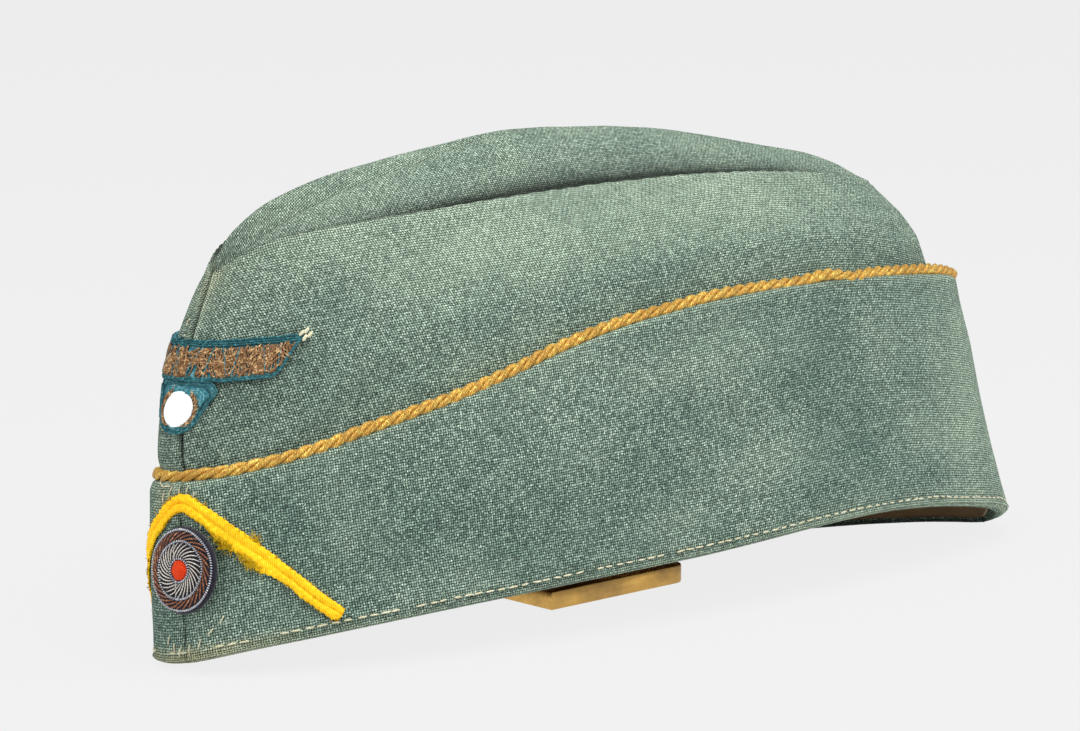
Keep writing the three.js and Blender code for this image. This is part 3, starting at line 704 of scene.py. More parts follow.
def topMarksAndShade(ahead, u, v):
    # painted shadow on the top just inside the ridge, weaker at the front end
    ridge = (1.2 * hump(v, 0.0, 0.16) + 0.3 * hump(v, 0.1, 0.3)) * (0.2 + 0.8 * smooth(0.04, 0.16, ahead))
    wear = 0.12 + 0.4 * smooth(0.9, 1.0, v) + 0.1 * softNoise(u * 200, v * 20, 14, 6)
    # painted shade also at the centre seam and towards the front tip
    deep = ridge + 0.6 * np.exp(-(1 - v) / 0.03) + 0.5 * hump(ahead, 0, 0.2)
    return wear, 0.2 * hump(ahead, 0.0, 0.05), deep


def flapMarksAndShade(turn, v):
    wear = 0.55 * (1 - smooth(0.0, 0.06, v)) + 0.35 * smooth(0.95, 1.0, v) + 0.3 * hump(turn, 160, 30)
    soil = (1 - smooth(0.05, 0.16, v)) * (0.7 * hump(turn, 8, 22) + 0.06)
    soil = soil + 0.3 * hump(turn, 2, 8) * hump(v, 0.9, 0.12)
    # painted shade along the hem-stitch line and in the front and rear seams
    deep = 0.35 * hump(v, 0.062, 0.012) + 0.4 * np.exp(-np.abs(fromSeam(turn, 0)) / 0.0003)
    return (wear + 0.15 * softNoise(turn, v * 60, 11, 7), soil,
            deep + 0.7 * np.exp(-fromBack(turn) / 0.00035))


def buildCrownSides():
    for name, side in (("Near", 1), ("Far", -1)):
        def place(u, v, out):
            turn = columnTurn(side, u, v)
            return offFace(crownPoint, turn, v, out + crownRelief(turn, v)) + shift

        def marksAndShade(u, v):
            return crownMarksAndShade(columnTurn(side, u, v), v)
        panel = clothPanel("crownSide" + name, place, crown["columns"], crown["rows"], crown["wall"],
                           crown["height"], crownWool, marksAndShade)
        keep(panel, "crown_cloth", "crown_side_" + name.lower())
    print("crown sides built")


# Top of the crown: two halves that bulge from the ridges and meet at the centre seam
def buildTop():
    for name, side in (("Near", 1), ("Far", -1)):
        def place(u, v, out):
            point = topFace(sweep(side, u, frontTurn(0.95) + 0.2 * side, 179.8), v)
            point[..., 2] += out
            point[..., 0] += side * 0.00006 * (v > 0.99)
            return point + shift

        def marksAndShade(u, v):
            return topMarksAndShade(u if side > 0 else 1 - u, u, v)
        panel = clothPanel("crownTop" + name, place, crown["columns"], crown["topRows"], crown["wall"],
                           crown["topWidth"], crownWool, marksAndShade)
        keep(panel, "crown_cloth", "crown_top_" + name.lower())
    print("top built")


# Turn-up: doubled cloth with a stitched hem, standing off a little at the rear
def buildTurnUps():
    for name, side in (("Near", 1), ("Far", -1)):
        def place(u, v, out):
            return flapFace(columnTurn(side, u, 0 * u), v, out) + shift

        def marksAndShade(u, v):
            return flapMarksAndShade(columnTurn(side, u, 0 * u), v)
        panel = clothPanel("turnUp" + name, place, flap["columns"], flap["rows"], flap["wall"],
                           flap["height"], flapWool, marksAndShade)
        keep(panel, "turn_up_cloth", "turn_up_" + name.lower())
    print("turn-ups built")


# Lining: sides inside the crown and two halves under its top
lining = {"wall": 0.0007, "hem": 0.003, "top": 0.88, "columns": 150, "rows": 40,
          "height": 0.075, "topWidth": 0.02, "topTurns": (12, 168)}


def buildLining():
    gap = crown["wall"] + capShape["clearance"]
    bottom = foldRise * lining["hem"] / flap["height"]
    for name, side in (("Near", 1), ("Far", -1)):
        def place(u, v, out):
            rise = lerp(bottom, lining["top"], v)
            turn = columnTurn(side, u, rise)
            slack = 0.0006 * softNoise(turn * sideArc, rise * crown["height"], 0.016, 41) - 0.0006
            return offFace(crownPoint, turn, rise, out - gap + slack) + shift
        keep(clothPanel("liningSide" + name, place, lining["columns"], lining["rows"], lining["wall"],
                        lining["height"], liningTwill), "lining", "lining_side_" + name.lower())

        def placeTop(u, v, out):
            point = topFace(sweep(side, u, *lining["topTurns"]), lerp(0.2, 1, v))
            point[..., 2] += out - gap - 0.0004
            return point + shift
        keep(clothPanel("liningTop" + name, placeTop, 90, 12, lining["wall"], lining["topWidth"],
                        liningTwill), "lining", "lining_top_" + name.lower())
    print("lining built")


# Piping: three strands laid up into a cord along the top edge of the turn-up
piping = {"radius": 0.00175, "strand": 0.00083, "lay": 0.0129, "step": 0.00042, "sides": 10}


def pipingPath(turn):
    radius = piping["radius"]
    out = capShape["clearance"] + np.maximum(radius + 0.00015, flareAt(turn, 1) + flap["wall"] / 2)
    out = out - 0.0004 - 0.0026 * hump(turn, 0, 28)
    point = offFace(crownPoint, turn, np.full_like(turn, foldRise), out)
    point[..., 2] += (0.0004 * softNoise(turn, 0 * turn, 7.0, 51) + 0.0006 * hump(turn, 118, 3)
                      - 0.0007 * hump(turn, 124, 3))
    return point + shift


def buildPiping():
    turns = np.linspace(-179.6, 179.6, 2400)
    path = pipingPath(turns)
    run = runAlong(path)
    even = np.linspace(0, run[-1], int(run[-1] / piping["step"]))
    path = atRun(even, run, path)
    normal = tangents(crownPoint, np.interp(even, run, turns), np.full(len(even), foldRise))[2]
    ahead = unit(np.gradient(path, axis=0))
    down = unit(np.cross(ahead, normal))
    outward = np.cross(down, ahead)
    reach = piping["radius"] - piping["strand"]
    strands, facing = [], []
    for k in range(3):
        angle = -2 * math.pi * even / piping["lay"] + 2 * math.pi * k / 3
        away = outward * np.cos(angle)[:, None] + down * np.sin(angle)[:, None]
        strands.append(path + reach * away)
        facing.append(away)
    cord = tubes("pipingCord", strands, piping["strand"], piping["sides"], goldThread,
                 out=np.array(facing), yarn=0.06, yarnTurns=330)
    keep(cord, "gold_cord", "piping_cord")
    print("piping laid")


# Drapes flat drawings on a cloth face: x level with the floor, y up the cloth, z out of it
def drape(face, turn, rise, x, y, z):
    walk = 8
    x, y, z = np.broadcast_arrays(*(np.asarray(v, float) for v in (x, y, z)))
    turnHere, riseHere = np.full(x.shape, float(turn)), np.full(x.shape, float(rise))
    for _ in range(walk):
        alongTurn, alongRise, normal = tangents(face, turnHere, riseHere)
        level = unit(np.stack([-normal[..., 1], normal[..., 0], 0 * x], -1))
        upward = np.cross(normal, level)
        move = level * (x / walk)[..., None] + upward * (y / walk)[..., None]
        aa, ab, bb = ((alongTurn * alongTurn).sum(-1), (alongTurn * alongRise).sum(-1),
                      (alongRise * alongRise).sum(-1))
        am, bm = (alongTurn * move).sum(-1), (alongRise * move).sum(-1)
        scale = aa * bb - ab * ab
        turnHere = turnHere + (am * bb - bm * ab) / scale
        riseHere = riseHere + (bm * aa - am * ab) / scale
    point = offFace(face, turnHere, riseHere, z + capShape["clearance"])
    return point + shift, tangents(face, turnHere, riseHere)[2]


def onCrown(turn, rise):
    return offFace(crownPoint, turn, rise, 0.4 * crownRelief(turn, rise))


# Geometry nodes: one small shape repeated on points that carry its direction, its top and its size
def repeatTree():
    tree = bpy.data.node_groups.new("repeatShape", "GeometryNodeTree")
    for key, kind in (("Points", "NodeSocketGeometry"), ("Shape", "NodeSocketObject"),
                      ("Finish", "NodeSocketMaterial"), ("Growth", "NodeSocketFloat")):
        tree.interface.new_socket(key, in_out="INPUT", socket_type=kind)
    tree.interface.new_socket("Pieces", in_out="OUTPUT", socket_type="NodeSocketGeometry")
    given, result = tree.nodes.new("NodeGroupInput").outputs, tree.nodes.new("NodeGroupOutput").inputs

    def named(key):
        return addNode(tree, "GeometryNodeInputNamedAttribute", {"Name": key},
                       data_type="FLOAT_VECTOR").outputs[0]
    shape = addNode(tree, "GeometryNodeObjectInfo", {"Object": given["Shape"]}).outputs["Geometry"]
    turning = addNode(tree, "FunctionNodeAxesToRotation", {0: named("along"), 1: named("top")},
                      primary_axis="X", secondary_axis="Z").outputs[0]
    size = vectorCalc(tree, "SCALE", named("size"), given["Growth"])
    points = addNode(tree, "GeometryNodeMeshToPoints", {"Mesh": given["Points"]}).outputs[0]
    laid = addNode(tree, "GeometryNodeInstanceOnPoints", {
        "Points": points, "Instance": shape, "Rotation": turning, "Scale": size}).outputs[0]
    real = addNode(tree, "GeometryNodeRealizeInstances", {"Geometry": laid}).outputs[0]
    done = addNode(tree, "GeometryNodeSetMaterial", {"Geometry": real, "Material": given["Finish"]})
    tree.links.new(done.outputs[0], result["Pieces"])
    return tree


repeatShape = repeatTree()


def roundedGrain(name, sides, rings):  # a unit grain of thread: half length 1 along X, radius 1
    points, uv = [], []
    for ring in range(rings + 1):
        a = math.pi * ring / rings
        x, r = -math.cos(a), max(math.sin(a), 0.03) ** 0.6
        for k in range(sides):
            b = 2 * math.pi * k / sides
            points.append((x, r * math.cos(b), r * math.sin(b)))
            uv.append((x * 0.001, k / sides))
    return linkMesh(name, points, closedFaces(rings + 1, sides, inward=True), creamThread, uv)


grainShape = roundedGrain("grainShape", 8, 8)


def repeatAt(name, points, along, top, size, material):
    seedMesh = bpy.data.meshes.new(name)
    seedMesh.from_pydata(np.asarray(points).tolist(), [], [])
    for key, values in (("along", along), ("top", top), ("size", size)):
        attribute = seedMesh.attributes.new(key, "FLOAT_VECTOR", "POINT")
        values = np.broadcast_to(np.asarray(values, np.float32), (len(points), 3))
        attribute.data.foreach_set("vector", values.ravel())
    holder = linkObject(name, seedMesh)
    modifier = holder.modifiers.new("repeat", "NODES")
    modifier.node_group = repeatShape
    wanted = {"Shape": grainShape, "Finish": material, "Growth": 1.0}
    for item in repeatShape.interface.items_tree:
        if item.item_type == "SOCKET" and item.in_out == "INPUT" and item.name in wanted:
            modifier[item.identifier] = wanted[item.name]
    bpy.context.view_layer.update()
    graph = bpy.context.evaluated_depsgraph_get()
    mesh = bpy.data.meshes.new_from_object(holder.evaluated_get(graph))
    mesh.shade_smooth()
    holder.modifiers.clear()
    holder.data = mesh
    mesh.name = name
    return holder


# Cockade: dark disc, three rings of coiled wire, slanted bronze bars, curved silver spokes, red centre
cockade = {
    "radius": 0.0107, "height": 0.0245, "dome": 0.0006, "flat": 0.8, "aside": 0.0008, "base": 0.0014,
    "centre": 0.23, "sides": 72, "centreSides": 36,
    "wires": (("Outer", "Wire", 0.95, 102, 0.0003, 0.0003), ("Inner", "Wire", 0.68, 73, 0.0003, 0.0004),
              ("Eye", "Ring", 0.275, 30, 0.00027, 0.0004)),  # share, beads, bead size, lift
    "bars": {"count": 29, "start": 0.715, "end": 0.915, "sweep": 27, "radius": 0.00021, "lift": 0.00045},
    "spokes": {"count": 29, "start": 0.31, "end": 0.645, "sweep": 36, "radius": 0.00016, "lift": 0.0004},
    "edge": ((0.001, 0.0), (0.5, 0.0), (0.97, 0.0), (1.02, 0.0003), (1.03, 0.0008), (1.0, 0.0013),
             (0.95, 0.0015), (0.8, 0.00135), (0.6, 0.0013), (0.4, 0.0013), (0.2, 0.0013), (0.001, 0.0013)),
    "button": ((1.0, -0.0002), (1.0, 0.0004), (0.9, 0.00062), (0.7, 0.00074), (0.4, 0.00082),
               (0.02, 0.00086)),
}


def cockadeAnchor():
    turn = capShape["cockadeTurn"]
    tall = capShape["foldTop"] * roundOval(1, turn) - capShape["hemLift"] * roundOval(0, turn)
    return turn, cockade["height"] / tall


def onCockade(radius, angle, lift):
    size = cockade["radius"]
    r = np.asarray(radius, float) * size
    squeeze = 1 + 0.008 * np.sin(2 * angle + 0.6) + 0.006 * np.sin(3 * angle + 1.3)
    x, y = r * squeeze * np.cos(angle) + cockade["aside"], r * squeeze * np.sin(angle)
    height = lift + cockade["dome"] * (1 - np.asarray(radius, float) ** 2)
    laid, normal = drape(flapFace, *cockadeAnchor(), x, y, height)
    middle, outward = drape(flapFace, *cockadeAnchor(), 0.0, 0.0, 0.0)
    level = unit(np.array([-outward[1], outward[0], 0]))
    stiff = (middle + x[..., None] * level + y[..., None] * np.cross(outward, level)
             + np.asarray(height)[..., None] * outward)  # a disc this stiff bends only half as much
    mixed = unit(lerp(normal, outward, cockade["flat"]))
    return lerp(laid, stiff, cockade["flat"]), mixed


def wireRing(name, share, beads, bead, lift):
    angle = np.linspace(0, 2 * math.pi, beads, endpoint=False)
    if share > 0.5:  # the long rings were sewn by hand, so they wander a little
        share = share + 0.008 * np.sin(2 * angle + share * 9) + 0.006 * np.sin(5 * angle)
    points, normals = onCockade(share + 0 * angle, angle, lift)
    ahead = unit(np.roll(points, -1, 0) - np.roll(points, 1, 0))
    slant = unit(np.cross(normals, ahead) + 0.35 * ahead)
    return repeatAt(name, points, slant, normals, (bead, bead * 0.6, bead * 0.9), silverWire)


def spiralBars(name, look, material):  # two twisted threads to each bar
    share = np.linspace(0, 1, 12)
    first = 2 * math.pi * np.arange(look["count"])[:, None] / look["count"]
    middle, normal = onCockade(lerp(look["start"], look["end"], share) + 0 * first,
                               first - math.radians(look["sweep"]) * share ** 0.85,
                               cockade["base"] + look["lift"] + 0.0002 * np.sin(math.pi * share) + 0 * first)
    across = np.cross(normal, unit(np.gradient(middle, axis=1)))
    lines = []
    for half in (0, 0.5):
        phase = 2 * math.pi * (share * 3.2 + half)
        away = across * np.cos(phase)[:, None] + normal * np.sin(phase)[:, None]
        lines.append(middle + away * look["radius"] * 0.55)
    taper = np.sin(math.pi * np.clip(share * 0.9 + 0.05, 0, 1)) ** 0.35
    return tubes(name, np.concatenate(lines), look["radius"] * 0.62 * taper, 6, material,
                 out=np.concatenate([normal] * 2))


def ringed(name, rows, material, slotName, node, radii=0.0):
    rows = np.array(rows)
    count, sides = rows.shape[:2]
    around = np.linspace(0, 2 * math.pi, sides, endpoint=False) / 4
    uv = np.stack(np.broadcast_arrays(np.reshape(radii, (-1, 1)), around * np.ones((count, 1))), -1)
    keep(linkMesh(name, rows, closedFaces(count, sides), material, uv), slotName, node)


def buildCockade():
    angle = np.linspace(0, 2 * math.pi, cockade["sides"], endpoint=False)
    rows = []
    for share, lift in cockade["edge"]:
        rough = 0.00008 * softNoise(angle * 9, share + 0 * angle, 0.7, 61) * (lift > 0)
        rows.append(onCockade(share + 0 * angle + rough * 60, angle, lift - 0.0002 + rough)[0])
    ringed("cockadeBase", rows, cockadeDark, "cockade_ground", "cockade_base")
    for where, kind, share, beads, bead, lift in cockade["wires"]:
        keep(wireRing("cockade" + where + kind, share, beads, bead, cockade["base"] + lift), "silver_wire",
             f"cockade_{where}_{kind}".lower())
    keep(spiralBars("cockadeBronzeBars", cockade["bars"], bronzeThread), "bronze_thread",
         "cockade_bronze_ring")
    keep(spiralBars("cockadeSpokes", cockade["spokes"], spokeWire), "silver_wire", "cockade_rayed_disc")
    angle = np.linspace(0, 2 * math.pi, cockade["centreSides"], endpoint=False)
    uneven = 1 + 0.03 * softNoise(angle * 4, 0 * angle, 0.8, 65)
    ringed("cockadeCentre", [onCockade(cockade["centre"] * share * uneven, angle, cockade["base"] + lift)[0]
                             for share, lift in cockade["button"]], cockadeRed, "red_felt",
           "cockade_centre")
    print("cockade built")


# Chevron: flat two-ribbed braid, sewn in an upturned V over the cockade, frayed in the middle
chevron = {"width": 0.0042, "height": 0.0011, "apex": 0.872, "foot": 0.14, "round": 0.1,
           "turn": 9, "reach": 33, "bow": 0.3, "plait": 0.0016, "columns": 420, "rows": 25}


def chevronMiddle(p):
    bend = (np.hypot(p, chevron["round"]) - chevron["round"]) / (
        math.hypot(1, chevron["round"]) - chevron["round"])
    fall = bend * (1 - chevron["bow"] + chevron["bow"] * bend * bend)
    return chevron["turn"] + chevron["reach"] * p, lerp(chevron["apex"], chevron["foot"], fall)


def buildChevron():
    columns, rows = chevron["columns"], chevron["rows"]
    p, v = np.linspace(-1, 1, columns), np.linspace(-1, 1, rows)[:, None]
    turn, share = chevronMiddle(p)
    middle = flapFace(turn, share)
    run = runAlong(middle)
    normal = tangents(flapFace, turn, share)[2]
    across = np.cross(normal, unit(np.gradient(middle, axis=0)))
    worn = hump(p, 0.42, 0.1) + hump(p, 0.62, 0.06)
    rib = np.abs(np.cos(math.pi * (np.abs(v) - 0.5))) ** 0.55
    plait = 0.5 + 0.5 * np.sin(2 * math.pi * (run + np.abs(v) * 0.0011) / chevron["plait"])
    height = chevron["height"] * (0.3 + 0.7 * rib) * (1 - 0.16 * plait) * (1 - 0.35 * worn)
    height = height + 0.00018 * softNoise(run * 900, v * 3 + 0 * run, 1.0, 71)
    height = height * (1 - 0.5 * smooth(-0.25, -0.6, p))  # the far leg lies flatter
    edge = 1 + 0.06 * np.sin(2 * math.pi * run / chevron["plait"]) + 0.1 * worn
    edge = edge * np.sqrt(np.clip(1 - (np.clip(np.abs(p) - 0.965, 0, 1) / 0.036) ** 2, 0.02, 1))
    swollen = 1 + (0.55 * worn + 0.16 * softNoise(run * 250, 0 * run, 1.0, 75)) * (v < 0)
    swollen = swollen + 0.1 * softNoise(run * 300, 0 * run, 1.0, 76) * (v > 0)
    half = chevron["width"] / 2
    away = v * half * edge * swollen + 0.0002 * softNoise(run * 300, v + 0 * run, 1.0, 73)
    top = middle + shift + across * away[..., None] + normal * (height + 0.0002)[..., None]
    under = middle + shift + across * (v[::-1, :, None] * half * 0.96) + normal * 0.0001
    uv = np.stack(np.broadcast_arrays(run, np.linspace(0, 2, 2 * rows)[:, None]), -1)
    keep(linkMesh("chevronBraid", np.concatenate([top, under]), bandFaces(rows, columns), yellowWool, uv),
         "yellow_braid", "chevron_braid")
    print("chevron built")


# Loose fibres of the braid: fine curled hairs in two clumps below, a tuft above, and fuzz all along
frays = {"below": (150, 130), "above": 24, "fuzz": 260, "radius": 0.00016, "curl": 0.9}


def buildFrays():
    rng = np.random.default_rng(7)
    first, second = frays["below"]
    clumped = first + second + frays["above"]
    p = np.concatenate([rng.normal(0.40, 0.025, first), rng.normal(0.56, 0.03, second),
                        rng.normal(0.52, 0.02, frays["above"]), rng.uniform(-0.95, 0.98, frays["fuzz"])])
    low = np.concatenate([np.ones(first + second), -np.ones(frays["above"]),
                          rng.choice([-1, 1], frays["fuzz"])])
    turn, share = chevronMiddle(p)
    turnAhead, shareAhead = chevronMiddle(p + 0.004)
    normal = tangents(flapFace, turn, share)[2]
    middle = flapFace(turn, share)
    ahead = unit(flapFace(turnAhead, shareAhead) - middle)
    across = np.cross(normal, ahead) * (-low)[:, None]
    roots = middle + shift + across * (chevron["width"] / 2 * 0.86) + normal * 0.0006
    lean = rng.normal(0, 0.5, len(p))[:, None]
    heading = unit(across + ahead * lean + normal * rng.uniform(0.0, 0.5, (len(p), 1)))
    size = np.where(np.arange(len(p)) < clumped, rng.uniform(0.0006, 0.0021, len(p)),
                    rng.uniform(0.0003, 0.0007, len(p)))[:, None, None]
    wild, other = unit(rng.normal(size=(len(p), 3)))[:, None], unit(rng.normal(size=(len(p), 3)))[:, None]
    share, curl = np.linspace(0, 1, 6)[:, None], frays["curl"]
    lines = (roots[:, None] + size * (heading[:, None] * share + wild * (curl * share ** 2)
                                      + other * (0.5 * curl * np.sin(share * 4))))
    keep(tubes("chevronFrays", lines, frays["radius"] * (1 - 0.6 * share[:, 0]), 3, looseWool,
               out=np.broadcast_to(other, lines.shape)), "yellow_braid")
    print("frays built")


# Badge: woven ground, plain wings of raised thread, pale disc in a ring of thread
badge = {"span": 0.061, "disc": 0.0088, "rim": 0.0018, "neck": 0.001, "wingHeight": 0.0105,
         "lift": 0.05, "sag": 0.12, "back": 1.6, "rise": 0.51, "wall": 0.0005, "tangles": 130,
         "rimCord": {"radius": 0.0003, "sides": 6, "material": rimThread, "yarn": 0.1, "yarnTurns": 700},
         "knot": (0.0010, 0.00045, 0.00045),
         "veins": ((0.11, 0.06), (0.2, 0.05), (0.33, -0.05), (0.42, 0.05), (0.66, -0.03), (0.78, 0.03)),
         # ground round the disc, as degrees and share of its radius, wide at the neck
         "shield": ((-90, 1), (-60, 1.01), (-31, 1.04), (0, 1.12), (16, 1.34), (30, 1.75), (90, 1.75),
                    (150, 1.75), (164, 1.34), (180, 1.12), (211, 1.04), (240, 1.01), (270, 1))}


def onFront(x, y, z):  # drawings on the crown's front, from the middle of the disc
    return drape(onCrown, frontTurn(badge["rise"]) - badge["back"], badge["rise"], x, y, z)


def onBadge(x, y, z):  # the wings rise to their tips, and the far one sags
    return onFront(x, y + badge["lift"] * np.abs(x) - badge["sag"] * np.maximum(-x, 0), z)


def onDisc(radius, angle, z):
    return onFront(radius * np.cos(angle), radius * np.sin(angle), z + 0 * angle)[0]


def wingOutline(p):
    foot = badge["disc"] / 2 + badge["rim"] + badge["neck"]
    return foot + badge["wingHeight"] * 0.9 * smooth(0.72, 1, np.abs(p)), foot + badge["wingHeight"]


def buildWings(rng):
    half, wall = badge["span"] / 2, badge["wall"]
    columns, rows = 161, 21
    u, v = np.meshgrid(np.linspace(-1, 1, columns), np.linspace(0, 1, rows))
    low, high = wingOutline(u)
    ragged = 0.00018 * softNoise(u * 90, v, 1.0, 81)
    y = lerp(low, high, v) + ragged * np.where(v > 0.5, 1, -1) * (np.abs(v - 0.5) * 2) ** 4
    rim = smooth(0, 0.16, v) * smooth(0, 0.16, 1 - v)
    rib = 0.00025 * (1 - rim) * (1 - smooth(0.96, 1.0, np.abs(u)))
    top = onBadge(u * half, y, wall + rib + 0.00005 * softNoise(u * 220, v * 30, 1.0, 82))[0]
    grid = np.concatenate([top, onBadge(u * half, y, 0.0 * y)[0][::-1]])
    uv = np.stack([np.concatenate([y, y[::-1]]), np.concatenate([u, u]) * 25], -1)
    keep(linkMesh("badgeWingGround", grid, bandFaces(rows, columns), tealThread, uv), "teal_weave",
         "badge_wing_ground")

    steps = np.linspace(0, 1, 9)
    for name, side in (("Near", 1), ("Far", -1)):
        p = np.arange(0.03, 0.9, 0.0155)[:, None]  # upright threads that fan one way, then the other
        ps = p + (0.05 * np.sin(p * 21) + rng.normal(0, 0.01, p.shape)) * (steps - 0.5) * 2
        ps = np.clip(ps, 0.02, 0.93)
        foot, head = wingOutline(ps)
        lines = [onBadge(side * ps * half, lerp(foot + 0.0011, head - 0.0021, steps),
                         wall + 0.0002 + 0.0001 * np.sin(math.pi * steps))[0]]
        many = (badge["tangles"], 1)  # short threads tangled over them
        p, level = rng.uniform(0.04, 0.86, many), rng.uniform(0.14, 0.78, many)
        angle = rng.normal(0.9, 0.7, many)
        foot, head = wingOutline(p)
        reach = rng.uniform(0.0007, 0.0019, many) * (2 * steps - 1)
        y = lerp(foot, head, level) + reach * np.sin(angle) + 0.0002 * np.sin(steps * 6)
        lines.append(onBadge(side * (p * half + reach * np.cos(angle)),
                             np.clip(y, foot + 0.0009, head - 0.0019),
                             wall + 0.00042 + 0.00014 * np.sin(math.pi * steps))[0])
        keep(tubes("badgeWing" + name, np.concatenate(lines), 0.0002, 6, badgeBronze), "bronze_thread",
             "badge_wing_" + name.lower())
        veins = []
        for p, slant in badge["veins"]:
            ps = p + slant * (steps - 0.5)
            foot, head = wingOutline(ps)
            veins.append(onBadge(side * ps * half, lerp(foot + 0.0012, head - 0.002, steps),
                                 wall + 0.00055 + 0 * steps)[0])
        keep(tubes("badgeVeins" + name, veins, 0.00017, 6, tealThread), "teal_weave")

    ps = np.linspace(-0.985, 0.985, 240)  # corded edge of the wings
    rims = [onBadge(ps * half, wingOutline(ps)[1] - inset,
                    wall + 0.0003 + 0.00012 * np.sin(ps * 300 + inset * 4000))[0]
            for inset in (0.0003, 0.0009, 0.0015)]
    ps = np.linspace(-0.97, 0.97, 240)
    rims += [onBadge(ps * half, wingOutline(ps)[0] + inset, wall + 0.00025 + 0 * ps)[0]
             for inset in (0.0002, 0.0007)]
    keep(tubes("badgeRims", rims, **badge["rimCord"]), "teal_weave")
    tips = np.array([[side * half * x, wingOutline(np.array(1.0))[1] + y] for side in (1, -1)
                     for x, y in ((0.96, 0.0), (1.0, 0.0005), (1.03, -0.0006), (0.985, -0.0013))])
    place, normal = onBadge(tips[:, 0], tips[:, 1], wall + 0.0006 + 0 * tips[:, 0])
    lay = unit(np.cross(normal, rng.normal(size=normal.shape)))
    keep(repeatAt("badgeKnots", place, lay, normal, badge["knot"], creamThread), "pale_weave")


def buildDisc(rng):
    disc, wall = badge["disc"] / 2, badge["wall"]
    ground = disc + badge["rim"]
    angle = np.linspace(0, 2 * math.pi, 72, endpoint=False)
    shield = np.interp((np.degrees(angle) + 90) % 360 - 90, *zip(*badge["shield"]))
    top = (ground + badge["neck"] + 0.0003) / ground
    shield = np.minimum(shield, np.where(np.sin(angle) > 0.1, top / np.maximum(np.sin(angle), 0.1), 9))

    def shieldRow(share, z):
        return onDisc(ground * lerp(1, shield, smooth(0.4, 1.0, share)) * share, angle, z)
    profile = ((0.02, 0), (0.9, 0), (1.0, 0.0001), (1.0, wall), (0.96, wall + 0.0002),
               (0.6, wall + 0.0001), (0.02, wall))
    ringed("badgeDiscGround", [shieldRow(share, z) for share, z in profile], tealThread, "teal_weave",
           "badge_disc_ground", [share * ground for share, _ in profile])
    edges = [shieldRow(share, wall + 0.00035)[np.arange(73) % 72] for share in (0.97, 0.88)]
    keep(tubes("badgeDiscRim", edges, **badge["rimCord"]), "teal_weave")

    steps = np.linspace(0, 1, 9)
    radius = disc + lerp(0.0002, 0.0015, steps)
    sprays = []  # short bronze threads beside the disc
    for side in (1, -1):
        for a in np.linspace(-52, 48, 17):
            bend = math.radians(a if side > 0 else 180 - a) + side * rng.normal(0.12, 0.06) * (2 * steps - 1)
            sprays.append(onDisc(radius, bend, wall + 0.0004))
    keep(tubes("badgeDiscThreads", sprays, 0.00019, 6, badgeBronze), "bronze_thread")
    profile = ((0.0002, wall * 0.5), (disc, wall * 0.5), (disc + 0.0001, wall + 0.0004),
               (disc - 0.0002, wall + 0.00062), (disc * 0.7, wall + 0.0007), (0.0002, wall + 0.00072))
    ringed("badgeDisc", [onDisc(size, angle, z) for size, z in profile], paleThread, "pale_weave",
           "badge_disc", [size for size, _ in profile])


def buildBadge():
    rng = np.random.default_rng(11)
    buildWings(rng)
    buildDisc(rng)
    print("badge built")


# Stitches: cream running stitches round the hem, loose tacking at the front
stitch = {"level": 0.0036, "half": 0.00125, "pitch": 0.0033, "thread": 0.00025, "tack": 0.00019}
# turn, height up the turn-up, and millimetres across and up
tacking = ((2, 0.90, -0.3, 2.2), (5, 0.93, 0.4, 2.6), (8, 0.92, -0.2, 2.4), (11, 0.93, 0.1, 3.0),
           (13, 0.90, 0.3, 2.2), (0, 0.97, 2.6, -0.8), (3, 0.96, 2.4, 0.5), (3, 0.19, 0.2, 2.2),
           (7, 0.11, 0.3, 2.6), (10, 0.10, -0.5, 3.2), (13, 0.14, 0.3, 2.6), (5, 0.14, -0.4, 2.0),
           (16, 0.21, 1.2, 1.6), (19, 0.27, 0.8, 2.0), (15, 0.75, 0.2, 2.2))


def buildStitches():
    rng = np.random.default_rng(3)
    turns = np.linspace(-179, 179, 4000)
    alongRise = tangents(crownPoint, turns, np.full_like(turns, 0.05))[1]
    tall = np.linalg.norm(alongRise, axis=-1) * foldRise
    share = stitch["level"] / tall + 0.006 * softNoise(turns, 0 * turns, 6, 91)
    path = flapFace(turns, share) + shift
    run = runAlong(path)
    places = np.arange(0.002, run[-1] - 0.002, stitch["pitch"])
    places = places + rng.normal(0, 0.00025, len(places))
    turnHere = np.interp(places, run, turns)
    missing = 0.75 * hump(turnHere, 6, 9) + 0.45 * hump(turnHere, 28, 14) + 0.04
    present = rng.random(len(places)) > missing
    places, turnHere = places[present], turnHere[present]
    middle = atRun(places, run, path)
    ahead = atRun(places + 0.001, run, path) - middle
    normal = tangents(flapFace, turnHere, np.interp(places, run, share))[2]
    ahead = unit(unit(ahead) + rng.normal(0, 0.05, ahead.shape))
    thread = stitch["thread"]
    size = np.stack([rng.uniform(0.8, 1.15, len(places)) * stitch["half"],
                     np.full(len(places), thread), np.full(len(places), thread)], -1)
    keep(repeatAt("hemStitches", middle + normal * 0.00008, ahead, normal, size, creamThread),
         "pale_weave")
    along = np.linspace(-0.5, 0.5, 7)
    arch = 0.0002 * np.cos(math.pi * along)
    tacks = [drape(flapFace, turn, share, 0.001 * x * along, 0.001 * y * along, 0.0001 + arch)[0]
             for turn, share, x, y in tacking]
    tacks += [drape(onCrown, frontTurn(level) - rng.uniform(1.5, 4), level, 0.0006 * along, 0.0022 * along,
                    0.0004 + arch)[0] for level in (0.585, 0.62, 0.66, 0.7, 0.74, 0.79)]
    keep(tubes("tackingStitches", tacks, stitch["tack"], 6, creamThread), "pale_weave")
    print("stitches laid:", len(places), len(tacks))


